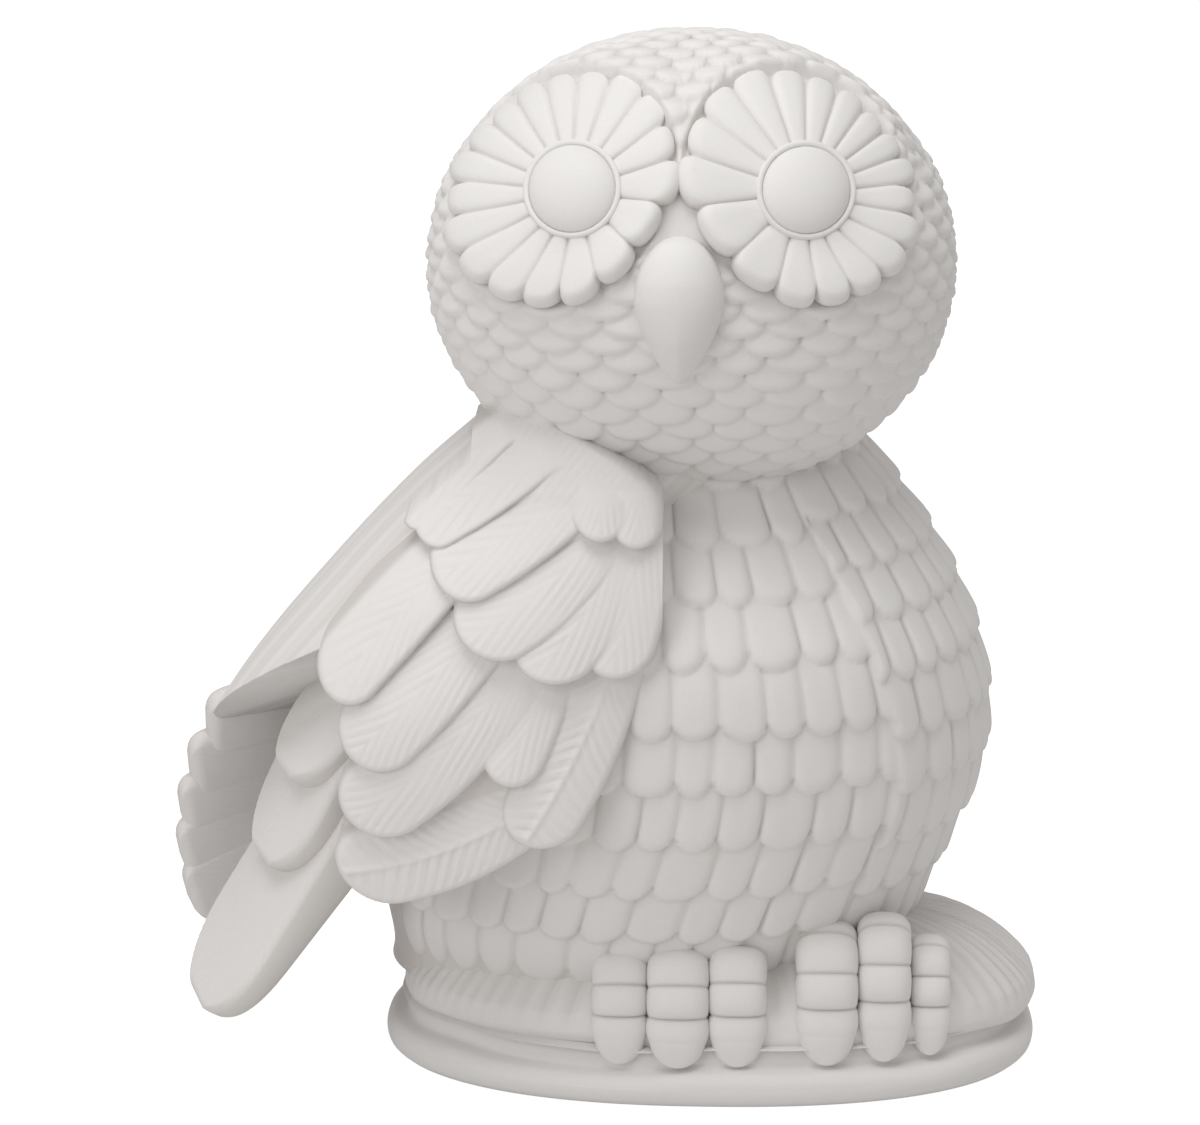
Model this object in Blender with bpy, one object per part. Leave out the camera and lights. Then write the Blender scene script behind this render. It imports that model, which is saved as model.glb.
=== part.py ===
"""Sitting owl figurine in unglazed white porcelain, about 205 mm tall.

The owl is put together from separately cast pieces that are joined with slip: an oval plinth, a
fluted tuft of ground feathers on it, the torso with its tiers of breast feathers, the head, two
petal eye rosettes with their rings and domes, the beak, the mantle, two wings, the tail and six
toes.  +Z is up, -Y is the side that the face looks to, +X the side of the breast, and the origin
is the centre of the flat underside.  Castings are modelled solid inside.
"""

import math

import bmesh
import bpy
from mathutils import Vector

MM = 0.001

SEAM = 0.3 * MM

# Plinth: a low oval slab with a narrower step on top
PLINTH_HALF_LENGTH = 66 * MM
PLINTH_HALF_DEPTH = 42 * MM
PLINTH_STEP_HEIGHT = 7 * MM
PLINTH_HEIGHT = 11 * MM
PLINTH_EDGE = 2 * MM
PLINTH_COLUMNS = 40
PLINTH_STEP_INSET = 4 * MM
OVAL_FULLNESS = 2.3
VENT_RADIUS = 4.5 * MM
VENT_DEPTH = 5 * MM
VENT_PLACE = (-30 * MM, 8 * MM)

# Tuft: the convex ring of feathers that the owl stands in
TUFT_INSET = 2.5 * MM
TUFT_FRONT_INSET = 6 * MM
TUFT_HALF_LENGTH = PLINTH_HALF_LENGTH - TUFT_INSET
TUFT_HALF_DEPTH = PLINTH_HALF_DEPTH - TUFT_FRONT_INSET
TUFT_HEIGHT = 15 * MM
TUFT_CENTRE_X = 2 * MM
TUFT_FOOT_INSET = 1.5 * MM
TUFT_SHOULDER = 0.15
TUFT_CROWN = 0.9
TUFT_ROWS = 6
TUFT_FLUTES = 30
TUFT_FLUTE_DEPTH = 0.7 * MM

# Torso: height above the plinth, centre x, centre y, half width, half depth of each section
TORSO_SECTIONS = (
    (7 * MM, -14 * MM, 9 * MM, PLINTH_HALF_LENGTH - 14.5 * MM, PLINTH_HALF_DEPTH - 6 * MM),
    (19 * MM, -12.5 * MM, 8 * MM, PLINTH_HALF_LENGTH - 11.5 * MM, PLINTH_HALF_DEPTH - 1 * MM),
    (34 * MM, -8.5 * MM, 7 * MM, 57 * MM, 46.5 * MM),
    (49 * MM, -5 * MM, 5 * MM, 59 * MM, 49.5 * MM),
    (64 * MM, -4 * MM, 4 * MM, 59 * MM, 50.5 * MM),
    (79 * MM, -4.5 * MM, 3 * MM, 56 * MM, 49 * MM),
    (94 * MM, -6 * MM, 5 * MM, 50 * MM, 42 * MM),
    (107 * MM, -7.5 * MM, 9 * MM, 42 * MM, 35 * MM),
    (120 * MM, -8 * MM, 12 * MM, 33 * MM, 28 * MM),
)
TORSO_FULLNESS = 2.15
TORSO_HEM = 7 * MM
TORSO_NECK = 4 * MM
FEATHER_TIERS = (
    (22 * MM, 29 * MM),
    (32 * MM, 40 * MM),
    (43 * MM, 52 * MM),
    (54.5 * MM, 64 * MM),
    (67 * MM, 76 * MM),
    (80.5 * MM, 86.5 * MM),
    (91 * MM, 95 * MM),
    (101 * MM, 104 * MM),
)
FEATHER_RELIEF = 1.7 * MM
FEATHER_SCALLOP = 2.2 * MM
FEATHER_LIP = 0.5 * MM
GROOVE_RELIEF = 0.4
FEATHER_WIDTH = 7.8 * MM
FEATHER_COLUMNS = 3
FEATHERED_HALF_ANGLE = math.radians(122)
BREAST_HALF_ANGLE = math.radians(46)
BREAST_BLEND = math.radians(8)
PLAIN_COLUMNS = 12
PLAIN_STANDOFF = 0.6 * MM

# Head: an egg with a flattened face, sunk into the neck
HEAD_HALF_WIDTH = 51 * MM
HEAD_HALF_DEPTH = 48 * MM
HEAD_HALF_HEIGHT = 44.8 * MM
HEAD_ABOVE_PLINTH = 151 * MM
HEAD_CENTRE_X = -4.5 * MM
HEAD_FULLNESS = 2.5
HEAD_COLUMNS = 32
HEAD_ROWS = 18

# Face: eye rosettes and beak are laid out on a plane in front of the face, then draped on the head
FACE_TILT = math.radians(11.5)
EYE_SPACING = 44.3 * MM
EYE_RISE = 11.8 * MM
PETALS = 18
PETAL_COLUMNS = 3
ROSETTE_RADIUS = 22 * MM
ROSETTE_STRETCH = 1.7 * MM
ROSETTE_STRETCH_ANGLE = math.radians(50)
ROSETTE_BRIDGE_TRIM = {-1: 1.2 * MM, 1: -1.4 * MM}
ROSETTE_BROW_DIP = 1.3 * MM
ROSETTE_DISH = 1.2 * MM
ROSETTE_THICKNESS = 1.6 * MM
ROSETTE_FLOOR = ROSETTE_THICKNESS * 0.6
PETAL_ROOT_LAP = 0.4 * MM
PETAL_EDGE_DROP = 1.3 * MM
PETAL_EDGE_ROUND = 0.2 * MM
PETAL_RELIEF = 1.6 * MM
PETAL_TIP = 2.2 * MM
RING_OUTER_RADIUS = 10.4 * MM
RING_WIDTH = 1.7 * MM
RING_HEIGHT = 1.3 * MM
RING_TO_PETALS = 0.7 * MM
DOME_HEIGHT = 3.8 * MM
DOME_ROWS = 5
EYE_COLUMNS = 24
BEAK_HALF_WIDTH = 8.6 * MM
BEAK_RISE = 12.8 * MM
BEAK_DROP = 17 * MM
BEAK_HEIGHT = 8 * MM
BEAK_CENTRE = (-1.6 * MM, -8.2 * MM)
BEAK_COLUMNS = 24
BEAK_ROWS = 6
BEAK_POINTEDNESS = 1.4
FACE_SEAT = 2 * MM
POLE_RADIUS = 0.3 * MM

# Mantle: sections of the back between the wings
MANTLE_SECTIONS = (
    (40 * MM, -70 * MM, -5 * MM, 38 * MM, 20 * MM),
    (55 * MM, -68 * MM, -4 * MM, 34 * MM, 25 * MM),
    (70 * MM, -58 * MM, 0 * MM, 34 * MM, 31 * MM),
    (90 * MM, -42 * MM, 3 * MM, 33 * MM, 34 * MM),
    (106 * MM, -28 * MM, 3 * MM, 32 * MM, 33 * MM),
    (117 * MM, -17 * MM, 2 * MM, 31 * MM, 30 * MM),
)
MANTLE_FULLNESS = 2.4
MANTLE_COLUMNS = 28
MANTLE_ROWS = 9
MANTLE_CREASE = ((-74.5 * MM, -25 * MM, 78.5 * MM), (-102.7 * MM, 8 * MM, 46.4 * MM))
MANTLE_UNDER_SLOPE = 0.3

# Wing feathers: root x, root height, tip x, tip height, half width, out from the wing's face, bow
WING_FEATHERS = {
    "scapular_upper": (-32.6 * MM, 123.8 * MM, -57.6 * MM, 105 * MM, 6.4 * MM, 3.0 * MM, 0 * MM),
    "scapular_middle": (-20.7 * MM, 115.1 * MM, -21.1 * MM, 106.6 * MM, 5 * MM, 3.0 * MM, 0 * MM),
    "scapular_front": (-14.2 * MM, 115 * MM, -13.2 * MM, 104.7 * MM, 5.4 * MM, 3.2 * MM, 0 * MM),
    "covert_upper": (-22.3 * MM, 115.9 * MM, -52.7 * MM, 97.3 * MM, 7.6 * MM, 2.6 * MM, 0.3 * MM),
    "covert_middle": (-18.1 * MM, 110.3 * MM, -47.4 * MM, 86.8 * MM, 8.2 * MM, 2.2 * MM, 2.2 * MM),
    "covert_lower": (-15.6 * MM, 108.2 * MM, -34.7 * MM, 80.6 * MM, 8.2 * MM, 1.8 * MM, 2.5 * MM),
    "covert_front": (-13.1 * MM, 109 * MM, -19.4 * MM, 79.8 * MM, 7.4 * MM, 1.4 * MM, 1.2 * MM),
    "secondary_rear": (-47.3 * MM, 101.3 * MM, -73.4 * MM, 74.7 * MM, 7.2 * MM, 1.8 * MM, -0.7 * MM),
    "secondary_upper": (-39.6 * MM, 92.7 * MM, -68.8 * MM, 62.9 * MM, 8.6 * MM, 1.2 * MM, 0.2 * MM),
    "secondary_lower": (-33 * MM, 86.1 * MM, -69.2 * MM, 50.2 * MM, 8.8 * MM, 0.7 * MM, 2.4 * MM),
    "secondary_short": (-30 * MM, 79 * MM, -40.1 * MM, 59 * MM, 6.4 * MM, 0.5 * MM, 0 * MM),
    "primary_front": (-16.9 * MM, 85.8 * MM, -35.7 * MM, 46.5 * MM, 8.2 * MM, 0.3 * MM, 1.5 * MM),
    "primary_long": (-29 * MM, 57.6 * MM, -71.6 * MM, 39.2 * MM, 7.8 * MM, -0.2 * MM, 3.6 * MM),
}
WING_CORE = (-23 * MM, 102.6 * MM, -61.4 * MM, 57.3 * MM, 22 * MM, -1.5 * MM, 0 * MM)
WING_ROOT_OUT = 0.4
FEATHER_ROOT_WIDTH = 0.85
FEATHER_ROOT_RUN = 0.7
FEATHER_TIP_RUN = 1.1
FEATHER_TIP_ROWS = 4
FEATHER_TIP_TURN = math.radians(81)
FEATHER_EDGE = 0.35
FEATHER_SQUARENESS = 0.7
FEATHER_ROOT_SINK = 2.2 * MM
WING_FULLNESS = 3.0 * MM
WING_DEPTH = 9 * MM
FEATHER_SEGMENTS = 8
WING_FACE = (
    (25 * MM, -42 * MM, 47 * MM, 4.0),
    (49 * MM, -40 * MM, 49.5 * MM, 4.0),
    (69 * MM, -38 * MM, 50 * MM, 5.0),
    (84 * MM, -32 * MM, 48 * MM, 6.0),
    (99 * MM, -26 * MM, 44 * MM, 9.0),
    (114 * MM, -20 * MM, 37 * MM, 18.0),
    (121 * MM, -20 * MM, 33 * MM, 20.0),
)

# Far wing: its long primaries end in a row of steps behind the tail, at heights above the plinth
FAR_WING_SHIFT = 7.4 * MM
FAR_PRIMARIES = 5
FAR_PRIMARY_TIP = (-108.5 * MM, 10 * MM, 51 * MM)
FAR_PRIMARY_STEP = (0 * MM, 1.5 * MM, -9.7 * MM)
FAR_PRIMARY_SWELL = 1.7 * MM
FAR_PRIMARY_LONGEST = 2.6
FAR_PRIMARY_RUN = (42 * MM, 20 * MM, 6 * MM)
FAR_PRIMARY_FAN = (0 * MM, 0 * MM, 2.5 * MM)
FAR_PRIMARY_OUTWARD = (-0.25, -0.92, -0.30)
FAR_PRIMARY_HALF_WIDTH = 8 * MM
FAR_PRIMARY_RISE = 2.5 * MM
FAR_PRIMARY_DEPTH = 10 * MM
FAR_HAND_ROOT = (-50 * MM, 46 * MM, 62 * MM)
FAR_HAND_TIP = (-99 * MM, 31 * MM, 20 * MM)
FAR_HAND_OUTWARD = (-0.4, -1, 0)
FAR_HAND_HALF_WIDTH = 23 * MM
FAR_HAND_RISE = 5 * MM
FAR_HAND_DEPTH = 6 * MM

# Tail: root, tip and half width of three overlapping lobes above the plinth, the longest first
TAIL_LOBES = (
    ((-68 * MM, -10 * MM, 45.5 * MM), (-102 * MM, -17 * MM, 0.5 * MM), 19 * MM),
    ((-66 * MM, -8 * MM, 62 * MM), (-88.5 * MM, -15 * MM, 30 * MM), 18 * MM),
    ((-62 * MM, -8 * MM, 77 * MM), (-84 * MM, -15 * MM, 48 * MM), 17 * MM),
)
TAIL_OUTWARD = (-0.71, -0.30, 0.63)
TAIL_RISE = 3 * MM
TAIL_THICKNESS = 9 * MM
TAIL_THINNING = 0.75

# Toes: how far in from the plinth's breast end and from its front edge, top height, half width
TOES = {
    "right_foot_outer_toe": (83.4 * MM, 3 * MM, 19.6 * MM, 5.3 * MM),
    "right_foot_middle_toe": (71.9 * MM, 1 * MM, 20.6 * MM, 5.9 * MM),
    "right_foot_inner_toe": (60.2 * MM, 2 * MM, 21 * MM, 5.5 * MM),
    "left_foot_inner_toe": (42.6 * MM, 3.5 * MM, 23.5 * MM, 5.9 * MM),
    "left_foot_middle_toe": (31.3 * MM, 6 * MM, 24.5 * MM, 5.1 * MM),
    "left_foot_outer_toe": (22.1 * MM, 10 * MM, 19 * MM, 3.8 * MM),
}
TOE_COLUMNS = 12
TOE_ROWS = 16
TOE_FULLNESS = 2.8
TOE_DEPTH = 0.85
TOE_REACH_BACK = 10 * MM
TOE_JOINTS = (0.0, 0.25, 0.4375, 0.625, 1.0)
KNUCKLE_RELIEF = 1.1 * MM
KNUCKLE_ROUNDNESS = 0.7
CLAW_INSET = 0.7 * MM
CLAW_WIDTH = 0.86
CLAW_SWELL = 0.1
CLAW_END = 1.03
# How far back and how far down each joint of a toe lies, as shares of its reach and its drop
TOE_BENDS = ((1.0, 0.06), (0.45, 0.0), (0.12, 0.2), (0.0, 0.48))

BISQUE = (0.80, 0.785, 0.77)
BISQUE_ROUGHNESS = 0.62
CREASE_ANGLE = math.radians(35)


def clear_scene():
    for scene_object in list(bpy.data.objects):
        bpy.data.objects.remove(scene_object, do_unlink=True)


def new_collection(name, hidden=False):
    collection = bpy.data.collections.new(name)
    bpy.context.scene.collection.children.link(collection)
    collection.hide_render = hidden
    return collection


def bisque_material(name, tone):
    material = bpy.data.materials.new(name)
    material.use_nodes = True
    shader = material.node_tree.nodes["Principled BSDF"]
    shader.inputs["Base Color"].default_value = [channel * tone for channel in BISQUE] + [1.0]
    shader.inputs["Roughness"].default_value = BISQUE_ROUGHNESS
    shader.inputs["Metallic"].default_value = 0.0
    return material


def finish_mesh(mesh_data, name):
    """Closes the normals of a bmesh and returns it as a smooth mesh with sharp creases kept."""
    bmesh.ops.recalc_face_normals(mesh_data, faces=mesh_data.faces)
    mesh = bpy.data.meshes.new(name)
    mesh_data.to_mesh(mesh)
    mesh_data.free()
    mesh.shade_smooth()
    mesh.set_sharp_from_angle(angle=CREASE_ANGLE)
    return mesh


def add_piece(mesh_data, name, collection, tone=1.0):
    piece = bpy.data.objects.new(name, finish_mesh(mesh_data, name))
    piece.data.materials.append(bisque_material(name + "_bisque", tone))
    collection.objects.link(piece)
    return piece


def add_helper(mesh_data, name, collection):
    helper = bpy.data.objects.new(name, finish_mesh(mesh_data, name))
    helper.hide_render = True
    helper.display_type = "WIRE"
    collection.objects.link(helper)
    return helper


def boolean(piece, operation, helper, solver="EXACT"):
    """Adds a Boolean with one helper object, or with every helper in a collection."""
    modifier = piece.modifiers.new(operation.title() + " " + helper.name, "BOOLEAN")
    modifier.operation = operation
    modifier.solver = solver
    if isinstance(helper, bpy.types.Collection):
        modifier.operand_type = "COLLECTION"
        modifier.collection = helper
    else:
        modifier.object = helper


def island_of(vertex, seen):
    """The vertices that are joined to this one by edges."""
    island, waiting = [], [vertex]
    seen.add(vertex)
    while waiting:
        here = waiting.pop()
        island.append(here)
        for edge in here.link_edges:
            other = edge.other_vert(here)
            if other not in seen:
                seen.add(other)
                waiting.append(other)
    return island


def settle(piece):
    """Applies a piece's Booleans and drops the slivers that they leave beside its main body."""
    graph = bpy.context.evaluated_depsgraph_get()
    cut_mesh = bpy.data.meshes.new_from_object(piece.evaluated_get(graph))
    mesh_data = bmesh.new()
    mesh_data.from_mesh(cut_mesh)
    bpy.data.meshes.remove(cut_mesh)
    seen, islands = set(), []
    for vertex in mesh_data.verts:
        if vertex not in seen:
            islands.append(island_of(vertex, seen))
    islands.sort(key=len)
    slivers = [vertex for island in islands[:-1] for vertex in island]
    bmesh.ops.delete(mesh_data, geom=slivers, context="VERTS")
    piece.modifiers.clear()
    mesh_data.to_mesh(piece.data)
    mesh_data.free()


def lofted(around, levels, place):
    """Extrudes a circle of vertices level by level, each vertex put where place(index, level) says."""
    mesh_data = bmesh.new()
    index_layer = mesh_data.verts.layers.int.new("around")
    ring = bmesh.ops.create_circle(mesh_data, segments=around, radius=1)["verts"]
    for index, vertex in enumerate(ring):
        vertex[index_layer] = index
        vertex.co = place(index, levels[0])
    edges = list(mesh_data.edges)
    for level in levels[1:]:
        extruded = bmesh.ops.extrude_edge_only(mesh_data, edges=edges)["geom"]
        edges = [part for part in extruded if isinstance(part, bmesh.types.BMEdge)]
        edges = [edge for edge in edges if edge.is_boundary]
        for vertex in {vertex for edge in edges for vertex in edge.verts}:
            vertex.co = place(vertex[index_layer], level)
    open_edges = [edge for edge in mesh_data.edges if edge.is_boundary]
    bmesh.ops.holes_fill(mesh_data, edges=open_edges, sides=0)
    return mesh_data


def smooth_row(rows, at):
    """Reads a table of sections at a height, on a smooth curve through its rows."""
    last = len(rows) - 1
    row = max(index for index in range(last) if index == 0 or rows[index][0] <= at)
    before, low = rows[max(row - 1, 0)], rows[row]
    high, after = rows[row + 1], rows[min(row + 2, last)]
    span = high[0] - low[0]
    share = min(max((at - low[0]) / span, 0.0), 1.0)
    values = []
    for column in range(1, len(low)):
        start_slope = (high[column] - before[column]) / (high[0] - before[0]) * span
        end_slope = (after[column] - low[column]) / (after[0] - low[0]) * span
        cubic = 2 * (low[column] - high[column]) + start_slope + end_slope
        square = 3 * (high[column] - low[column]) - 2 * start_slope - end_slope
        values.append(((cubic * share + square) * share + start_slope) * share + low[column])
    return values


def oval(angle, half_x, half_y, fullness):
    """A point of a superellipse in the direction of angle, before its centre is added."""
    cosine, sine = math.cos(angle), math.sin(angle)
    reach = (abs(cosine) ** fullness + abs(sine) ** fullness) ** (-1 / fullness)
    return Vector((half_x * cosine * reach, half_y * sine * reach))


def ease(share):
    share = min(max(share, 0.0), 1.0)
    return share * share * (3 - 2 * share)


# ---------------------------------------------------------------------------- plinth and tuft

def plinth_shape():
    levels = (
        (0.0, PLINTH_EDGE),
        (PLINTH_EDGE, 0.0),
        (PLINTH_STEP_HEIGHT - PLINTH_EDGE, 0.0),
        (PLINTH_STEP_HEIGHT, PLINTH_EDGE),
        (PLINTH_STEP_HEIGHT, PLINTH_STEP_INSET),
        (PLINTH_HEIGHT - PLINTH_EDGE / 2, PLINTH_STEP_INSET + PLINTH_EDGE / 2),
        (PLINTH_HEIGHT, PLINTH_STEP_INSET + PLINTH_EDGE),
    )
    around = PLINTH_COLUMNS

    def place(index, level):
        height, inset = level
        turn = math.tau * index / around
        flat = oval(turn, PLINTH_HALF_LENGTH - inset, PLINTH_HALF_DEPTH - inset, OVAL_FULLNESS)
        return Vector((flat.x, flat.y, height))

    return lofted(around, levels, place)


def vent_cutter():
    mesh_data = bmesh.new()
    bmesh.ops.create_cone(
        mesh_data, cap_ends=True, segments=24, radius1=VENT_RADIUS, radius2=VENT_RADIUS, depth=2 * VENT_DEPTH
    )
    bmesh.ops.translate(mesh_data, vec=(VENT_PLACE[0], VENT_PLACE[1], 0), verts=mesh_data.verts)
    return mesh_data


def tuft_shape():
    base = PLINTH_HEIGHT + SEAM
    levels = [(0.0, TUFT_FOOT_INSET)]
    for step in range(TUFT_ROWS):
        quarter = math.pi / 2 * step / (TUFT_ROWS - 1)
        rise = TUFT_SHOULDER + (1 - TUFT_SHOULDER) * math.sin(quarter)
        levels.append((TUFT_HEIGHT * rise, (1 - math.cos(quarter)) * TUFT_HALF_DEPTH * TUFT_CROWN))
    around = TUFT_FLUTES * 2

    def place(index, level):
        height, inset = level
        turn = math.tau * index / around
        groove = TUFT_FLUTE_DEPTH if index % 2 and height > 0 else 0.0
        flat = oval(turn, TUFT_HALF_LENGTH - inset - groove, TUFT_HALF_DEPTH - inset - groove, OVAL_FULLNESS)
        return Vector((flat.x + TUFT_CENTRE_X, flat.y, base + height))

    return lofted(around, levels, place)


# ---------------------------------------------------------------------------- torso

def torso_columns():
    """Angle and place across its feather of each column: 0 is the groove, None the plain back."""
    half_turn = FEATHERED_HALF_ANGLE
    widest = max(section[3] for section in TORSO_SECTIONS)
    feathers = round(2 * half_turn * widest / FEATHER_WIDTH)
    count = feathers * FEATHER_COLUMNS
    columns = []
    for index in range(count + 1):
        angle = -half_turn + 2 * half_turn * index / count
        columns.append((angle, (index % FEATHER_COLUMNS) / FEATHER_COLUMNS))
    plain = math.tau - 2 * half_turn
    for index in range(1, PLAIN_COLUMNS):
        columns.append((half_turn + plain * index / PLAIN_COLUMNS, None))
    return columns


def tier_height(tier, angle):
    """Tiers of the breast panel sit higher than those of the flanks."""
    flank, breast = FEATHER_TIERS[tier]
    share = ease((BREAST_HALF_ANGLE + BREAST_BLEND / 2 - abs(angle)) / BREAST_BLEND)
    return flank + (breast - flank) * share


def torso_point(angle, height, proud):
    centre_x, centre_y, half_x, half_y = smooth_row(TORSO_SECTIONS, height)
    flat = oval(angle, half_x + proud, half_y + proud, TORSO_FULLNESS)
    return Vector((centre_x + flat.x, centre_y + flat.y, PLINTH_HEIGHT + height))


def torso_shape():
    columns = torso_columns()
    bottom, top = TORSO_SECTIONS[0][0], TORSO_SECTIONS[-1][0]
    tiers = len(FEATHER_TIERS)
    levels = [("plain", bottom), ("plain", bottom + TORSO_HEM)]
    for tier in range(tiers):
        levels += [("under", tier), ("rim", tier)]
    levels += [("plain", top - TORSO_NECK), ("plain", top)]

    def place(index, level):
        angle, across = columns[index]
        kind, value = level
        if kind == "plain":
            return torso_point(angle, value, 0)
        height = tier_height(value, angle)
        if across is None:
            lip = FEATHER_LIP if kind == "under" else 0.0
            return torso_point(angle, height - lip, 0)
        groove = across == 0
        if groove:
            height += FEATHER_SCALLOP
        if kind == "under":
            return torso_point(angle, height - FEATHER_LIP, 0)
        return torso_point(angle, height, FEATHER_RELIEF * (GROOVE_RELIEF if groove else 1.0))

    return lofted(len(columns), levels, place)


def torso_hull(clearance):
    """The torso without its grooves, grown by a clearance, to cut the pieces that lie on it."""
    columns = torso_columns()
    bottom, top = TORSO_SECTIONS[0][0], TORSO_SECTIONS[-1][0]
    tiers = len(FEATHER_TIERS)
    levels = [bottom - clearance, bottom + TORSO_HEM]
    for tier in range(tiers):
        levels += [("tier", tier)]
    levels += [top - TORSO_NECK, top]

    def place(index, level):
        angle, across = columns[index]
        height = tier_height(level[1], angle) if isinstance(level, tuple) else level
        proud = clearance
        if isinstance(level, tuple):
            proud += FEATHER_RELIEF if across is not None else PLAIN_STANDOFF
        point = torso_point(angle, max(height, bottom), proud)
        point.z = PLINTH_HEIGHT + height
        return point

    return lofted(len(columns), levels, place)


# ---------------------------------------------------------------------------- head and face

def head_centre():
    return Vector((HEAD_CENTRE_X, 0.0, PLINTH_HEIGHT + HEAD_ABOVE_PLINTH))


def head_shape(grow=0.0):
    """A sphere pressed to the head's egg: fuller in plan than a circle."""
    mesh_data = bmesh.new()
    bmesh.ops.create_uvsphere(mesh_data, u_segments=HEAD_COLUMNS, v_segments=HEAD_ROWS, radius=1)
    centre = head_centre()
    for vertex in mesh_data.verts:
        around = math.atan2(vertex.co.y, vertex.co.x)
        flat = oval(around, HEAD_HALF_WIDTH + grow, HEAD_HALF_DEPTH + grow, HEAD_FULLNESS)
        level = math.hypot(vertex.co.x, vertex.co.y)
        height = vertex.co.z * (HEAD_HALF_HEIGHT + grow)
        vertex.co = centre + Vector((flat.x * level, flat.y * level, height))
    return mesh_data


def head_excess(point):
    """Below zero inside the head's egg, above zero outside it."""
    local = point - head_centre()
    flat = abs(local.x / HEAD_HALF_WIDTH) ** HEAD_FULLNESS + abs(local.y / HEAD_HALF_DEPTH) ** HEAD_FULLNESS
    return flat ** (2 / HEAD_FULLNESS) + (local.z / HEAD_HALF_HEIGHT) ** 2 - 1


def drape(across, up):
    """The point of the head straight behind a point of the face plane, and the head's normal there."""
    forward = Vector((0, -math.cos(FACE_TILT), math.sin(FACE_TILT)))
    upward = Vector((0, math.sin(FACE_TILT), math.cos(FACE_TILT)))
    start = head_centre() + Vector((across, 0, 0)) + upward * up
    near, far = 0.0, 2 * HEAD_HALF_WIDTH
    for _ in range(40):
        middle = (near + far) / 2
        if head_excess(start + forward * middle) < 0:
            near = middle
        else:
            far = middle
    point = start + forward * near
    step = 0.05 * MM
    shifts = (Vector((step, 0, 0)), Vector((0, step, 0)), Vector((0, 0, step)))
    normal = Vector([head_excess(point + shift) - head_excess(point - shift) for shift in shifts])
    return point, normal.normalized()


def draped_body(around, levels, radius_at, centre):
    """A closed body on the head: each level is (inner radius, share of the way out, height)."""

    def place(index, level):
        inner, share, height = level
        turn = math.tau * index / around
        reach, rise = radius_at(index, turn, share, inner, height)
        point, normal = drape(centre[0] + reach * math.cos(turn), centre[1] + reach * math.sin(turn))
        return point + normal * rise

    return lofted(around, levels, place)


def rosette_shape(side):
    centre = (side * EYE_SPACING / 2, EYE_RISE)
    seat = SEAM + ROSETTE_FLOOR
    petal_start = RING_OUTER_RADIUS - PETAL_ROOT_LAP
    top = SEAM + ROSETTE_THICKNESS + PETAL_RELIEF
    levels = (
        (POLE_RADIUS, 0.0, -FACE_SEAT),
        (POLE_RADIUS, 0.55, -FACE_SEAT),
        (POLE_RADIUS, 1.0, -FACE_SEAT),
        (petal_start, 1.0, top - PETAL_EDGE_DROP),
        (petal_start, 0.92, top - PETAL_EDGE_ROUND),
        (petal_start, 0.6, top),
        (petal_start, 0.1, top - ROSETTE_DISH),
        (petal_start, 0.0, seat),
        (POLE_RADIUS, 0.0, seat),
    )
    around = PETALS * PETAL_COLUMNS

    def radius_at(index, turn, share, inner, height):
        groove = index % PETAL_COLUMNS == 0
        inward = turn if side < 0 else math.pi - turn
        stretch = ROSETTE_STRETCH * math.cos(2 * (inward - ROSETTE_STRETCH_ANGLE))
        outer = ROSETTE_RADIUS + stretch - ROSETTE_BRIDGE_TRIM[side] * math.cos(inward)
        outer -= PETAL_TIP if groove else 0.0
        if height > seat:
            height -= ROSETTE_BROW_DIP * ease(math.sin(turn) + 0.3) * share
            height -= PETAL_RELIEF * 0.8 if groove else 0.0
        return inner + (outer - inner) * share, height

    return draped_body(around, levels, radius_at, centre)


def ring_shape(side):
    centre = (side * EYE_SPACING / 2, EYE_RISE)
    base = 2 * SEAM + ROSETTE_FLOOR
    inside = RING_OUTER_RADIUS - RING_TO_PETALS - RING_WIDTH
    corner = RING_WIDTH * 0.25
    section = (
        (inside, base),
        (inside + corner / 2, base + RING_HEIGHT * 0.7),
        (inside + RING_WIDTH / 2, base + RING_HEIGHT),
        (inside + RING_WIDTH - corner / 2, base + RING_HEIGHT * 0.7),
        (inside + RING_WIDTH, base),
        (inside, base),
    )
    around = EYE_COLUMNS

    def place(index, level):
        radius, height = level
        turn = math.tau * index / around
        point, normal = drape(centre[0] + radius * math.cos(turn), centre[1] + radius * math.sin(turn))
        return point + normal * height

    mesh_data = lofted(around, section, place)
    caps = [face for face in mesh_data.faces if len(face.verts) > 4]
    bmesh.ops.delete(mesh_data, geom=caps, context="FACES_ONLY")
    bmesh.ops.remove_doubles(mesh_data, verts=mesh_data.verts, dist=0.001 * MM)
    return mesh_data


def dome_shape(side):
    centre = (side * EYE_SPACING / 2, EYE_RISE)
    base = 2 * SEAM + ROSETTE_FLOOR
    radius = RING_OUTER_RADIUS - RING_TO_PETALS - RING_WIDTH - SEAM
    levels = [(POLE_RADIUS, base), (radius / 2, base), (radius, base)]
    for step in range(1, DOME_ROWS):
        rise = math.pi / 2 * step / DOME_ROWS
        levels.append((radius * math.cos(rise), base + DOME_HEIGHT * math.sin(rise)))
    around = EYE_COLUMNS

    def place(index, level):
        reach, height = level
        turn = math.tau * index / around
        point, normal = drape(centre[0] + reach * math.cos(turn), centre[1] + reach * math.sin(turn))
        return point + normal * height

    return lofted(around, levels, place)


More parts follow.
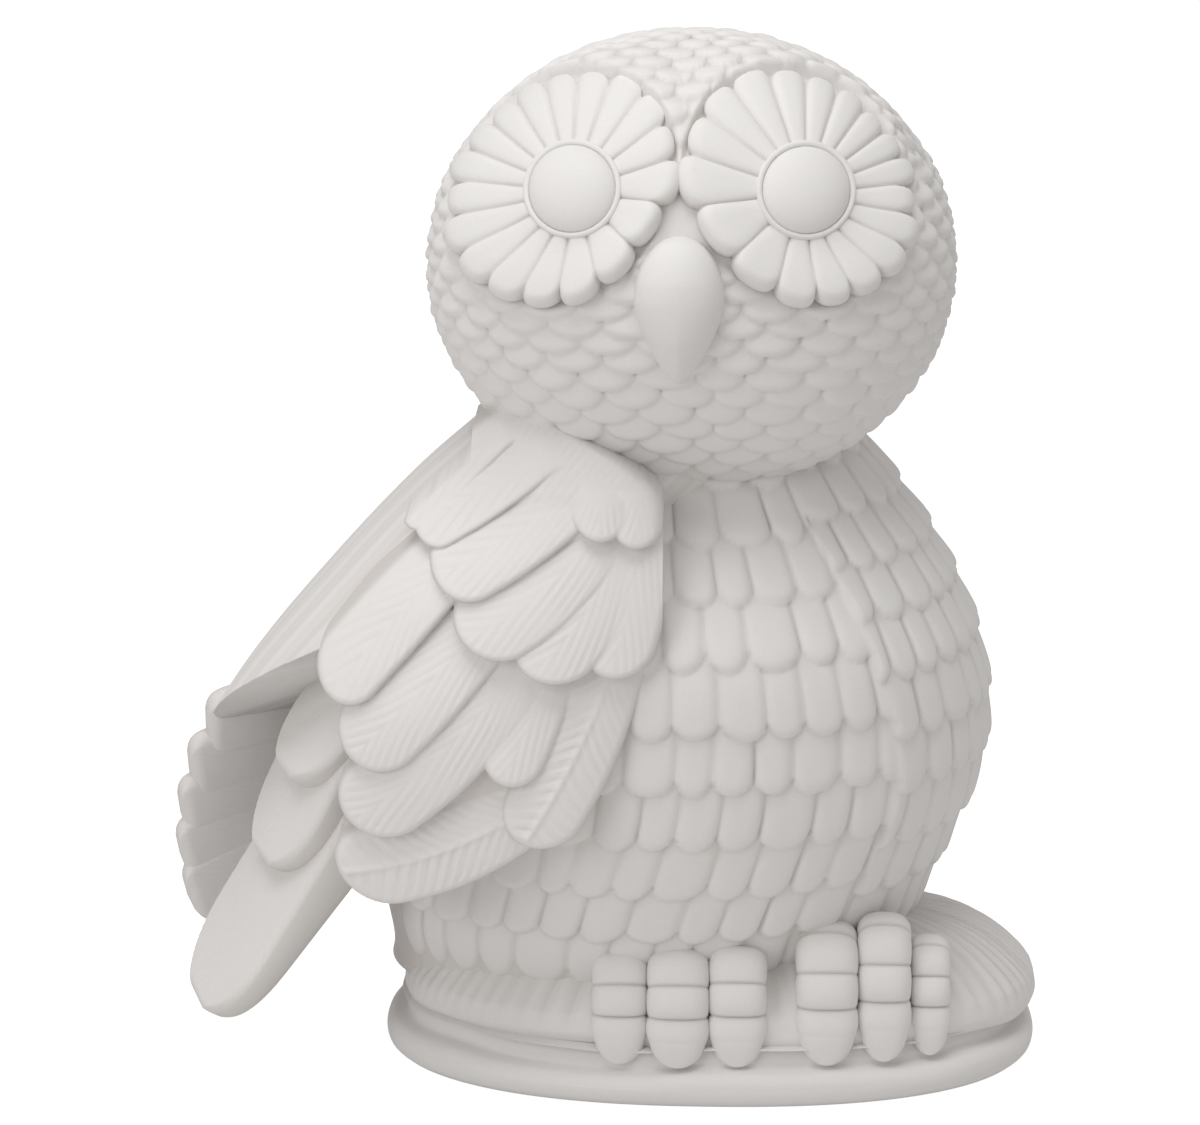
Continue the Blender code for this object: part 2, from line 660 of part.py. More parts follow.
def beak_shape(grow=0.0):
    """An almond, round on top and pointed below, with a soft ridge down its lower half."""
    levels = [(POLE_RADIUS, share, -FACE_SEAT) for share in (0.0, 0.5, 1.0)]
    for step in range(1, BEAK_ROWS):
        rise = math.pi / 2 * step / BEAK_ROWS
        levels.append((POLE_RADIUS, math.cos(rise), grow + BEAK_HEIGHT * math.sin(rise)))
    around = BEAK_COLUMNS

    def radius_at(index, turn, share, inner, height):
        cosine, sine = math.cos(turn), math.sin(turn)
        if sine > 0:
            reach = 1 / math.hypot(cosine / BEAK_HALF_WIDTH, sine / BEAK_RISE)
        else:
            corner = abs(cosine / BEAK_HALF_WIDTH) ** BEAK_POINTEDNESS
            corner += abs(sine / BEAK_DROP) ** BEAK_POINTEDNESS
            reach = corner ** (-1 / BEAK_POINTEDNESS)
        return inner + (reach + grow - inner) * share, height

    return draped_body(around, levels, radius_at, BEAK_CENTRE)


# ---------------------------------------------------------------------------- mantle

def mantle_shape(grow=0.0):
    """A leaning loft whose underside is a plane through the crease above the far wing."""
    bottom, top = MANTLE_SECTIONS[0][0], MANTLE_SECTIONS[-1][0]

    def place(index, share):
        turn = math.tau * index / MANTLE_COLUMNS
        height = bottom + (top - bottom) * share
        centre_x, centre_y, half_x, half_y = smooth_row(MANTLE_SECTIONS, height)
        flat = oval(turn, half_x + grow, half_y + grow, MANTLE_FULLNESS)
        spread = height + grow * (2 * share - 1)
        return Vector((centre_x + flat.x, centre_y + flat.y, PLINTH_HEIGHT + spread))

    mesh_data = lofted(MANTLE_COLUMNS, [row / MANTLE_ROWS for row in range(MANTLE_ROWS + 1)], place)
    near, far = [Vector(point) for point in MANTLE_CREASE]
    under = (far - near).cross(Vector((1, 0, MANTLE_UNDER_SLOPE))).normalized()
    cut = near + Vector((0, 0, PLINTH_HEIGHT)) + under * grow
    every_part = [*mesh_data.verts, *mesh_data.edges, *mesh_data.faces]
    bmesh.ops.bisect_plane(mesh_data, geom=every_part, plane_co=cut, plane_no=under, clear_outer=True)
    open_edges = [edge for edge in mesh_data.edges if edge.is_boundary]
    bmesh.ops.holes_fill(mesh_data, edges=open_edges, sides=0)
    return mesh_data


# ---------------------------------------------------------------------------- feathers

def tongue(root, tip, outward, half_width, rise, depth, grow=0.0, bow=0.0, thinning=0.0):
    """A feather as a rounded tongue from root to tip, pillowed on its outer side and bowed downwards."""
    along = (tip - root).normalized()
    across = along.cross(outward).normalized()
    lift = across.cross(along).normalized()
    down = across if across.z < 0 else -across
    length = (tip - root).length + grow
    straight = 1 - half_width * FEATHER_TIP_RUN / length
    stations = 3 if bow else 2
    levels = [straight * row / stations for row in range(stations)]
    for step in range(FEATHER_TIP_ROWS):
        turn = FEATHER_TIP_TURN * step / (FEATHER_TIP_ROWS - 1)
        levels.append(straight + (1 - straight) * math.sin(turn))
    around = FEATHER_SEGMENTS

    def place(index, level):
        turn = math.tau * index / around
        beyond = max(level - straight, 0.0) / (1 - straight)
        narrowing = math.sqrt(max(1 - beyond ** 2, 0.0))
        root_taper = FEATHER_ROOT_WIDTH + (1 - FEATHER_ROOT_WIDTH) * ease(level / FEATHER_ROOT_RUN)
        wide = (half_width * root_taper + grow) * narrowing
        side = math.copysign(abs(math.cos(turn)) ** FEATHER_SQUARENESS, math.cos(turn))
        up = math.copysign(abs(math.sin(turn)) ** FEATHER_SQUARENESS, math.sin(turn))
        thick = (rise if up > 0 else depth * (1 - thinning * level)) + grow
        thick *= FEATHER_EDGE + (1 - FEATHER_EDGE) * narrowing
        spine = root + along * (length * level) + down * (bow * 4 * level * (1 - level))
        return spine + across * (wide * side) + lift * (thick * up)

    return lofted(around, levels, place)


def wing_face_y(x, height):
    """Distance of the wing's outer face from the owl's middle plane."""
    centre_x, reach, bend = smooth_row(WING_FACE, height)
    return reach - bend * (x - centre_x) ** 2


def wing_tongue(feather, mirror, grow=0.0):
    root_x, root_h, tip_x, tip_h, half_width, out, bow = feather
    root_y = wing_face_y(root_x, root_h) - FEATHER_ROOT_SINK + out * WING_ROOT_OUT
    tip_y = wing_face_y(tip_x, tip_h) + out
    shift = FAR_WING_SHIFT if mirror > 0 else 0.0
    root = Vector((root_x, mirror * root_y + shift, PLINTH_HEIGHT + root_h))
    tip = Vector((tip_x, mirror * tip_y + shift, PLINTH_HEIGHT + tip_h))
    middle_x = (root_x + tip_x) / 2
    slope = (wing_face_y(middle_x + MM, root_h) - wing_face_y(middle_x - MM, root_h)) / (2 * MM)
    outward = Vector((-slope, mirror, 0)).normalized()
    return tongue(root, tip, outward, half_width, WING_FULLNESS, WING_DEPTH, grow, bow)


def above_plinth(place):
    return Vector(place) + Vector((0, 0, PLINTH_HEIGHT))


def far_primary(order):
    """One of the long steps at the end of the far wing."""
    swell = Vector((FAR_PRIMARY_SWELL * (order - FAR_PRIMARY_LONGEST) ** 2, 0, 0))
    tip = above_plinth(FAR_PRIMARY_TIP) + order * Vector(FAR_PRIMARY_STEP) + swell
    root = tip + Vector(FAR_PRIMARY_RUN) + order * Vector(FAR_PRIMARY_FAN)
    outward = Vector(FAR_PRIMARY_OUTWARD)
    return tongue(root, tip, outward, FAR_PRIMARY_HALF_WIDTH, FAR_PRIMARY_RISE, FAR_PRIMARY_DEPTH)


def far_wing_core():
    """The body of the far wing's hand, which backs its primaries."""
    root, tip, outward = above_plinth(FAR_HAND_ROOT), above_plinth(FAR_HAND_TIP), Vector(FAR_HAND_OUTWARD)
    return tongue(root, tip, outward, FAR_HAND_HALF_WIDTH, FAR_HAND_RISE, FAR_HAND_DEPTH)


# ---------------------------------------------------------------------------- tail

def tail_lobe(lobe, grow=0.0):
    root, tip, half_width = above_plinth(lobe[0]), above_plinth(lobe[1]), lobe[2]
    outward = Vector(TAIL_OUTWARD)
    return tongue(root, tip, outward, half_width, TAIL_RISE, TAIL_THICKNESS, grow, thinning=TAIL_THINNING)


# ---------------------------------------------------------------------------- toes

def toe_shape(toe, grow=0.0):
    """Three knuckles bent over the plinth's edge and a blunt claw that hangs down from the last."""
    from_end, from_edge, top, radius = toe
    x = PLINTH_HALF_LENGTH - from_end
    front = radius * TOE_DEPTH - PLINTH_HALF_DEPTH + from_edge
    crown = PLINTH_HEIGHT + top - radius * TOE_DEPTH
    lowest = PLINTH_STEP_HEIGHT + SEAM
    drop = crown - lowest
    path = [
        (joint, front + back * TOE_REACH_BACK, crown - down * drop)
        for joint, (back, down) in zip(TOE_JOINTS, TOE_BENDS)
    ]
    path.append((1.0, front + CLAW_INSET, lowest - grow))
    claw = len(TOE_BENDS) - 1

    def place(index, share):
        turn = math.tau * index / TOE_COLUMNS
        here = Vector(smooth_row(path, share))
        before = Vector(smooth_row(path, max(share - 1 / TOE_ROWS, 0.0)))
        after = Vector(smooth_row(path, min(share + 1 / TOE_ROWS, 1.0)))
        along = (after - before).normalized()
        joint = max(order for order in range(claw + 1) if TOE_JOINTS[order] <= share)
        local = (share - TOE_JOINTS[joint]) / (TOE_JOINTS[joint + 1] - TOE_JOINTS[joint])
        if joint == claw:
            swell = CLAW_SWELL * math.sin(math.pi * min(local * 2, 1.0))
            wide = radius * (CLAW_WIDTH + swell) * math.sqrt(CLAW_END - local ** 3)
            thick = wide * TOE_DEPTH - CLAW_INSET
        else:
            swell = math.sin(math.pi * local) ** KNUCKLE_ROUNDNESS
            wide = radius - KNUCKLE_RELIEF / 4 * (1 - swell)
            thick = radius * TOE_DEPTH - KNUCKLE_RELIEF * (1 - swell)
        flat = oval(turn, wide + grow, thick + grow, TOE_FULLNESS)
        return Vector((x + flat.x, here.x + along.y * flat.y, here.y - along.x * flat.y))

    return lofted(TOE_COLUMNS, [row / TOE_ROWS for row in range(TOE_ROWS + 1)], place)


def foot_seat(foot):
    """The outer hull of one foot's toes with their seam, to seat the foot in what it grips."""
    mesh_data = bmesh.new()
    for name, toe in TOES.items():
        if name.startswith(foot):
            toe_mesh = bpy.data.meshes.new(name + "_outline")
            outline = toe_shape(toe, SEAM)
            outline.to_mesh(toe_mesh)
            outline.free()
            mesh_data.from_mesh(toe_mesh)
            bpy.data.meshes.remove(toe_mesh)
    hull = bmesh.ops.convex_hull(mesh_data, input=mesh_data.verts)
    kept = {part for part in hull["geom"] if isinstance(part, bmesh.types.BMVert)}
    kept_faces = {part for part in hull["geom"] if isinstance(part, bmesh.types.BMFace)}
    old_faces = [face for face in mesh_data.faces if face not in kept_faces]
    bmesh.ops.delete(mesh_data, geom=old_faces, context="FACES_ONLY")
    loose = [vertex for vertex in mesh_data.verts if not vertex.link_faces or vertex not in kept]
    bmesh.ops.delete(mesh_data, geom=loose, context="VERTS")
    bmesh.ops.delete(mesh_data, geom=[edge for edge in mesh_data.edges if edge.is_wire], context="EDGES")
    return mesh_data


# ---------------------------------------------------------------------------- assembly

def build_owl():
    clear_scene()
    owl = new_collection("owl_figurine")
    cutters = new_collection("cutters", hidden=True)
    foot_seats = new_collection("foot_seats", hidden=True)

    for name, toe in TOES.items():
        add_piece(toe_shape(toe), name, owl, 0.99)
    for foot in ("right_foot", "left_foot"):
        add_helper(foot_seat(foot), foot + "_seat", foot_seats)

    head_cutter = add_helper(head_shape(SEAM), "head_cutter", cutters)
    torso_cutter = add_helper(torso_hull(SEAM), "torso_cutter", cutters)
    mantle_cutter = add_helper(mantle_shape(SEAM), "mantle_cutter", cutters)
    beak_cutter = add_helper(beak_shape(SEAM), "beak_cutter", cutters)
    vent = add_helper(vent_cutter(), "vent_cutter", cutters)

    plinth = add_piece(plinth_shape(), "base_plinth", owl)
    boolean(plinth, "DIFFERENCE", vent)
    boolean(plinth, "DIFFERENCE", foot_seats)

    tuft = add_piece(tuft_shape(), "ground_tuft", owl, 0.98)
    boolean(tuft, "DIFFERENCE", torso_cutter)
    boolean(tuft, "DIFFERENCE", foot_seats)

    torso = add_piece(torso_shape(), "torso", owl)
    boolean(torso, "DIFFERENCE", head_cutter)
    boolean(torso, "DIFFERENCE", foot_seats)

    add_piece(head_shape(), "head", owl)
    for side, word in ((-1, "right"), (1, "left")):
        rosette = add_piece(rosette_shape(side), "eye_rosette_" + word, owl, 0.99)
        boolean(rosette, "DIFFERENCE", head_cutter)
        boolean(rosette, "DIFFERENCE", beak_cutter)
        add_piece(ring_shape(side), "eye_ring_" + word, owl)
        add_piece(dome_shape(side), "eye_dome_" + word, owl, 1.01)
    beak = add_piece(beak_shape(), "beak", owl, 1.01)
    boolean(beak, "DIFFERENCE", head_cutter)

    mantle = add_piece(mantle_shape(), "mantle", owl)
    boolean(mantle, "DIFFERENCE", torso_cutter)
    boolean(mantle, "DIFFERENCE", head_cutter)

    tail = add_piece(tail_lobe(TAIL_LOBES[0]), "tail", owl, 0.99)
    lobes = new_collection("tail_lobes", hidden=True)
    tail_cutters = new_collection("tail_cutters", hidden=True)
    for order, lobe in enumerate(TAIL_LOBES):
        if order:
            add_helper(tail_lobe(lobe), "tail_lobe_%d" % order, lobes)
        add_helper(tail_lobe(lobe, SEAM), "tail_cutter_%d" % order, tail_cutters)
    boolean(tail, "UNION", lobes)
    boolean(tail, "DIFFERENCE", torso_cutter)
    boolean(tail, "DIFFERENCE", mantle_cutter)

    for mirror, word in ((-1, "right"), (1, "left")):
        feathers = new_collection("wing_feathers_" + word, hidden=True)
        wing = add_piece(wing_tongue(WING_CORE, mirror), "wing_" + word, owl)
        shapes = {}
        if mirror > 0:
            shapes["far_wing_core"] = far_wing_core()
            shapes.update({"far_primary_%d" % order: far_primary(order) for order in range(FAR_PRIMARIES)})
        shapes.update({name: wing_tongue(feather, mirror) for name, feather in WING_FEATHERS.items()})
        # The feathers meet in many shallow folds, which the exact solver leaves open.
        for name, shape in shapes.items():
            boolean(wing, "UNION", add_helper(shape, name + "_" + word, feathers), "MANIFOLD")
        for cutter in (torso_cutter, head_cutter, mantle_cutter, *tail_cutters.objects):
            boolean(wing, "DIFFERENCE", cutter, "MANIFOLD")
        settle(wing)


build_owl()
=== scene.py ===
"""The dressed owl figurine: carved feathers, petal eyes and fine bisque porcelain around the CAD frame.

The file is laid out as an add-on and is run as a script.  Each operator models one piece, or a group
of like pieces, from bmesh shapes whose vertices are then moved as a carver would move clay.
"""

import math

import bmesh
import bpy
import numpy as np
from bpy.props import FloatProperty, FloatVectorProperty, IntProperty, PointerProperty
from mathutils import Matrix, Vector


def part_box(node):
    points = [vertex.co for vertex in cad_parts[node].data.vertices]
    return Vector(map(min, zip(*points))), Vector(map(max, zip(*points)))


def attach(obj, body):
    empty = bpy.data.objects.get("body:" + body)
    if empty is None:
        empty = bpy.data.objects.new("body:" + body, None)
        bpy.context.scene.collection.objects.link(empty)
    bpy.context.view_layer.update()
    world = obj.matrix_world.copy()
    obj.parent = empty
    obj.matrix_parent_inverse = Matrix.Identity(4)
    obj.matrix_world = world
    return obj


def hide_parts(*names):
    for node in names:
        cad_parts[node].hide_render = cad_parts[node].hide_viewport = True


bl_info = {
    "name": "Bisque Owl",
    "version": (1, 0, 0),
    "blender": (4, 5, 0),
    "location": "View3D > Sidebar > Owl",
    "description": "Carves the feathers of a bisque porcelain owl around its solid frame",
    "category": "Object",
}

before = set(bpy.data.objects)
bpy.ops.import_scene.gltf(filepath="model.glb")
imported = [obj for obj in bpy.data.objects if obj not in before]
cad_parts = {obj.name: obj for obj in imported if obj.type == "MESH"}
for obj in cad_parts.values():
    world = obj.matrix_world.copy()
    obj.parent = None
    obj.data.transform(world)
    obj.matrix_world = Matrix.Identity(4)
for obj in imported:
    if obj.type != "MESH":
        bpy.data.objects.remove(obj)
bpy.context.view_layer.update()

MM = 0.001
TAU = math.tau


# ---------------------------------------------------------------------------- sizes and colours

class FaceSizes(bpy.types.PropertyGroup):
    tilt: FloatProperty(
        name="Face tilt", description="How far the face plane leans back",
        default=math.radians(11.5), unit="ROTATION")
    egg_fullness: FloatProperty(
        name="Egg fullness", description="How square the head is in plan; 2 is an ellipse", default=2.5)
    petals: IntProperty(name="Petals", description="Petals in one eye rosette", default=18, min=6)
    petal_spread: FloatProperty(
        name="Petal spread", description="How much wider the petals beside the beak are", default=0.95)
    petal_height: FloatProperty(
        name="Petal height", description="Height of a petal's pillow", default=1.7 * MM, unit="LENGTH")
    petal_round: FloatProperty(
        name="Petal round", description="How far a petal's end is rounded back", default=2.6 * MM,
        unit="LENGTH")
    dish: FloatProperty(
        name="Dish", description="How much higher a rosette's rim lies than its middle",
        default=2.7 * MM, unit="LENGTH")
    scale_width: FloatProperty(
        name="Scale width", description="Width of a feather scale on the cheek", default=10.4 * MM,
        unit="LENGTH")
    scale_relief: FloatProperty(
        name="Scale relief", description="Height of a feather scale", default=3.1 * MM, unit="LENGTH")
    brow: FloatProperty(
        name="Brow", description="Height of the crown's edge above the rosettes", default=2.1 * MM,
        unit="LENGTH")


class PlumageSizes(bpy.types.PropertyGroup):
    feather_width: FloatProperty(
        name="Feather width", description="Width of a breast feather", default=7.7 * MM, unit="LENGTH")
    feather_relief: FloatProperty(
        name="Feather relief", description="Height of a breast feather's free end",
        default=2.3 * MM, unit="LENGTH")
    barb_pitch: FloatProperty(
        name="Barb pitch", description="Distance between the combed lines of a wing feather",
        default=1.3 * MM, unit="LENGTH")
    barb_depth: FloatProperty(
        name="Barb depth", description="Depth of the combed lines", default=0.11 * MM, unit="LENGTH")


class BisqueLook(bpy.types.PropertyGroup):
    clay: FloatVectorProperty(
        name="Clay", description="Colour of the raised bisque", subtype="COLOR", size=4,
        default=(0.80, 0.785, 0.77, 1.0), min=0.0, max=1.0)
    # Painted shade: the colour that the grooves are mixed towards, standing in for the shade that falls
    # in them
    crease_shade: FloatVectorProperty(
        name="Crease_Shade", description="Colour deep in the grooves", subtype="COLOR", size=4,
        default=(0.66, 0.62, 0.59, 1.0), min=0.0, max=1.0)
    roughness: FloatProperty(
        name="Roughness", description="Mean roughness of the bisque", default=0.6, min=0.0, max=1.0)
    grain: FloatProperty(
        name="Grain", description="Strength of the sandy grain", default=0.12, min=0.0, max=1.0)


SETTINGS = {"owl_face": FaceSizes, "owl_plumage": PlumageSizes, "owl_bisque": BisqueLook}


def settings(name):
    return getattr(bpy.context.scene, name)


# ---------------------------------------------------------------------------- finish

SHEEN = 0.35
GRAIN_DEPTH = 0.15 * MM
COMB_DEPTH = 0.3 * MM
COMB_SCALE = 700


def feed(tree, node, inputs):
    """Sets a node's inputs; one whose value is another node's output is linked to it."""
    for place, value in inputs.items():
        if isinstance(value, bpy.types.NodeSocket):
            tree.links.new(value, node.inputs[place])
        else:
            node.inputs[place].default_value = value


def add_node(tree, kind, inputs, **facts):
    """A new node with its facts, such as its operation, and its inputs set."""
    node = tree.nodes.new(kind)
    for fact, value in facts.items():
        setattr(node, fact, value)
    feed(tree, node, inputs)
    return node


def bisque_group():
    """A node group that gives bisque its colour, roughness and sandy grain, and mixes in the painted
    shade of the grooves.
    """
    name = "Bisque Body"
    if name in bpy.data.node_groups:
        return bpy.data.node_groups[name]
    group = bpy.data.node_groups.new(name, "ShaderNodeTree")
    sockets = (
        ("Clay", "INPUT", "NodeSocketColor"),
        ("Crease_Shade", "INPUT", "NodeSocketColor"),
        ("Painted_Shade", "INPUT", "NodeSocketFloat"),
        ("Mean Roughness", "INPUT", "NodeSocketFloat"),
        ("Color", "OUTPUT", "NodeSocketColor"),
        ("Roughness", "OUTPUT", "NodeSocketFloat"),
        ("Grain", "OUTPUT", "NodeSocketFloat"),
    )
    for title, direction, kind in sockets:
        group.interface.new_socket(name=title, in_out=direction, socket_type=kind)
    start = add_node(group, "NodeGroupInput", {}).outputs
    place = add_node(group, "ShaderNodeTexCoord", {}).outputs["Object"]

    def noise(scale, detail):
        inputs = {"Vector": place, "Scale": scale, "Detail": detail}
        return add_node(group, "ShaderNodeTexNoise", inputs).outputs["Fac"]

    def spread(value, low, high):
        inputs = {"Value": value, "To Min": low, "To Max": high}
        return add_node(group, "ShaderNodeMapRange", inputs).outputs["Result"]

    cloud = spread(noise(scale=35, detail=3), low=0.965, high=1.02)
    speck = spread(noise(scale=1400, detail=2), low=0.975, high=1.02)
    worn = spread(noise(scale=90, detail=4), low=-0.06, high=0.06)
    shade = add_node(group, "ShaderNodeMath", {0: cloud, 1: speck}, operation="MULTIPLY")
    rough = add_node(
        group, "ShaderNodeMath", {0: start["Mean Roughness"], 1: worn}, operation="ADD")
    # Painted shade: the clay is mixed towards the crease colour by the painted shade mask
    tone = add_node(
        group, "ShaderNodeMix",
        {"Factor": start["Painted_Shade"], "A": start["Clay"], "B": start["Crease_Shade"]}, data_type="RGBA")
    mottle = add_node(
        group, "ShaderNodeVectorMath",
        {"Vector": tone.outputs["Result"], "Scale": shade.outputs["Value"]}, operation="SCALE")
    add_node(group, "NodeGroupOutput", {
        "Color": mottle.outputs["Vector"], "Roughness": rough.outputs["Value"],
        "Grain": noise(scale=2600, detail=3)})
    return group


def bisque(name, tone=1.0, streaks=0.0, stretch=(1.0, 1.0, 0.08)):
    """Bisque with painted shade that darkens its grooves; streaks adds combed lines drawn out by
    stretch.
    """
    look = settings("owl_bisque")
    material = bpy.data.materials.new(name)
    material.use_nodes = True
    tree = material.node_tree
    # The painted shade mask that each piece stores on its vertices
    painted_shade = add_node(tree, "ShaderNodeAttribute", {}, attribute_name="painted_shade")
    body = add_node(tree, "ShaderNodeGroup", {
        "Clay": [channel * tone for channel in look.clay[:3]] + [1.0], "Crease_Shade": look.crease_shade,
        "Painted_Shade": painted_shade.outputs["Fac"], "Mean Roughness": look.roughness,
    }, node_tree=bisque_group()).outputs
    last = add_node(tree, "ShaderNodeBump", {
        "Strength": look.grain, "Distance": GRAIN_DEPTH, "Height": body["Grain"]})
    if streaks:
        place = add_node(tree, "ShaderNodeTexCoord", {})
        drawn = add_node(
            tree, "ShaderNodeMapping", {"Vector": place.outputs["Object"], "Scale": stretch})
        comb = add_node(tree, "ShaderNodeTexNoise", {
            "Vector": drawn.outputs["Vector"], "Scale": COMB_SCALE, "Detail": 3})
        last = add_node(tree, "ShaderNodeBump", {
            "Strength": streaks, "Distance": COMB_DEPTH, "Height": comb.outputs["Fac"],
            "Normal": last.outputs["Normal"]})
    feed(tree, tree.nodes["Principled BSDF"], {
        "Base Color": body["Color"], "Roughness": body["Roughness"], "Specular IOR Level": SHEEN,
        "Normal": last.outputs["Normal"]})
    return material


# ---------------------------------------------------------------------------- carving tools

def ball(columns, rows):
    """A closed ball rolled up from a grid, ready to be drawn out: its rings lie an equal turn apart."""
    mesh_data = bmesh.new()
    bmesh.ops.create_grid(mesh_data, x_segments=columns, y_segments=rows, size=1)
    for vertex in mesh_data.verts:
        turn, rise = vertex.co.x * math.pi, (vertex.co.y + 1) / 2 * math.pi
        ring = math.sin(rise)
        vertex.co = (ring * math.cos(turn), ring * math.sin(turn), -math.cos(rise))
    bmesh.ops.remove_doubles(mesh_data, verts=mesh_data.verts, dist=1e-6)
    return mesh_data


def mesh_of(name, mesh_data):
    mesh = bpy.data.meshes.new(name)
    mesh_data.to_mesh(mesh)
    mesh_data.free()
    return mesh


def linked(name, data):
    """A new object of the scene that shows the mesh, lamp or camera."""
    piece = bpy.data.objects.new(name, data)
    bpy.context.scene.collection.objects.link(piece)
    return piece


def open_edges(mesh_data):
    return [edge for edge in mesh_data.edges if edge.is_boundary]


def vertex_places(mesh):
    places = np.empty(len(mesh.vertices) * 3)
    mesh.vertices.foreach_get("co", places)
    return places.reshape(-1, 3)


def smooth_outward(mesh):
    """Turns a closed mesh's faces outwards and shades them smooth."""
    mesh.calc_loop_triangles()
    corners = np.empty(len(mesh.loop_triangles) * 3, np.int32)
    mesh.loop_triangles.foreach_get("vertices", corners)
    sides = vertex_places(mesh)[corners.reshape(-1, 3)]
    volume = np.einsum("ij,ij->i", sides[:, 0], np.cross(sides[:, 1], sides[:, 2])).sum() / 6
    if volume < 0:
        mesh.flip_normals()
    mesh.shade_smooth()


def carve(name, mesh_data, shape):
    """Makes a piece of a bmesh, each vertex moved to where shape(turn, level) puts it.

    turn is the vertex's angle around the ball's axis, level its share of the way from the bottom
    pole to the top one.  shape gives the points and the painted shade of each one: a mask that
    darkens the grooves' colour where shade falls.
    """
    mesh = mesh_of(name, mesh_data)
    points = vertex_places(mesh)
    turn = np.arctan2(points[:, 1], points[:, 0])
    level = np.arccos(np.clip(-points[:, 2], -1, 1)) / math.pi
    places, painted_shade = shape(turn, level)
    mesh.vertices.foreach_set("co", places.ravel())
    # Painted shade: stored on each vertex for the material to darken the grooves with
    attribute = mesh.attributes.new("painted_shade", "FLOAT", "POINT")
    attribute.data.foreach_set("value", np.clip(painted_shade, 0, 1).astype(np.float32))
    mesh.update()
    smooth_outward(mesh)
    return linked(name, mesh)


def settle(piece, slot, material, *nodes):
    """Gives a finished piece its material and the root body, and hides the CAD nodes that it stands
    for; slot is not used.
    """
    piece.data.materials.append(material)
    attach(piece, "root")
    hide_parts(*nodes)
    return piece


def ease(share):
    """A smooth step: 0 up to share 0, 1 from share 1 on."""
    share = np.clip(share, 0, 1)
    return share * share * (3 - 2 * share)


def band(value, low, high, soft):
    """1 between low and high, falling to 0 over soft on both sides."""
    return ease((value - low) / soft + 1) * ease((high - value) / soft + 1)


def dome(share, power=2.0):
    """A pillow's height: 1 in the middle, 0 at share 1 and beyond."""
    return np.sqrt(np.clip(1 - np.abs(share) ** power, 0, 1))


def wobble(seed, *values):
    """A smooth, repeatable unevenness between -1 and 1."""
    total = np.zeros_like(np.asarray(values[0], dtype=float))
    for order, value in enumerate(values):
        total = total + np.sin(value * (1.0 + 0.37 * order) + seed * (2.1 + order))
        total = total + 0.5 * np.sin(value * (2.3 + 0.21 * order) + seed * (4.7 + order) + 1.3)
    return total / (1.5 * len(values))


def jitter(row, column, seed):
    """A repeatable random number between -1 and 1 for each feather."""
    value = np.sin(row * 127.1 + column * 311.7 + seed * 74.7) * 43758.5453
    return 2 * (value - np.floor(value)) - 1


def oval(angle, half_x, half_y, fullness):
    """A point of an oval; fullness 2 makes an ellipse and more makes it squarer."""
    cosine, sine = np.cos(angle), np.sin(angle)
    reach = (np.abs(cosine) ** fullness + np.abs(sine) ** fullness) ** (-1 / fullness)
    return half_x * cosine * reach, half_y * sine * reach


def normals_of(surface, first, second, step_first, step_second):
    """The outward normals of a surface point(first, second), from its slopes."""
    across = surface(first + step_first, second) - surface(first - step_first, second)
    along = surface(first, second + step_second) - surface(first, second - step_second)
    normal = np.cross(across, along)
    return normal / np.maximum(np.linalg.norm(normal, axis=1, keepdims=True), 1e-12)


def curve_through(stations, values, at):
    """A smooth curve through the values at the stations, read at many places."""
    stations, values = np.asarray(stations, float), np.asarray(values, float)
    row = np.clip(np.searchsorted(stations, at) - 1, 0, len(stations) - 2)
    before, after = np.maximum(row - 1, 0), np.minimum(row + 2, len(stations) - 1)
    span = stations[row + 1] - stations[row]
    share = np.clip((at - stations[row]) / span, 0, 1)
    low, high = values[row], values[row + 1]
    start = (high - values[before]) / (stations[row + 1] - stations[before]) * span
    end = (values[after] - low) / (stations[after] - stations[row]) * span
    cubic = 2 * (low - high) + start + end
    square = 3 * (high - low) - 2 * start - end
    return ((cubic * share + square) * share + start) * share + low


def read_sections(table, at, columns=None):
    """The columns of a table of sections, read on smooth curves; its first one holds the stations."""
    columns = columns or range(1, table.shape[1])
    return [curve_through(table[:, 0], table[:, column], at) for column in columns]


def shingle(across, down, tip_start, tip_length, root, power, flare=1.0, roll=0.0):
    """Height (0 to 1) of one overlapping feather.

    across runs from -1 to 1 over its width, down from 0 at its root; its round tip begins at
    tip_start and is tip_length long.  root is its height at the root, power the squareness of its
    outline, flare how late it rises and roll how far its tip is rolled under.
    """
    beyond = np.clip((down - tip_start) / tip_length, 0, None)
    edge = np.sqrt(across ** 2 + beyond ** 2)
    rise = root + (1 - root) * np.clip(down / (tip_start + tip_length), 0, 1) ** flare
    height = rise * dome(edge, power) * (1 - roll * np.clip(beyond, 0, 1) ** 2)
    return np.where((down >= 0) & (edge < 1), height, 0.0)


# ---------------------------------------------------------------------------- head and face

HEAD_LOW, HEAD_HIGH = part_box("head")
HEAD_CENTRE = np.array((HEAD_LOW + HEAD_HIGH) / 2)
HEAD_HALF = np.array((HEAD_HIGH - HEAD_LOW) / 2)

EYES = {side: np.array([sum(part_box("eye_dome_" + side), Vector()) / 2]) for side in ("right", "left")}
EYE_STANDOFF = 3.4 * MM
HEAD_SEAT = 0.8 * MM

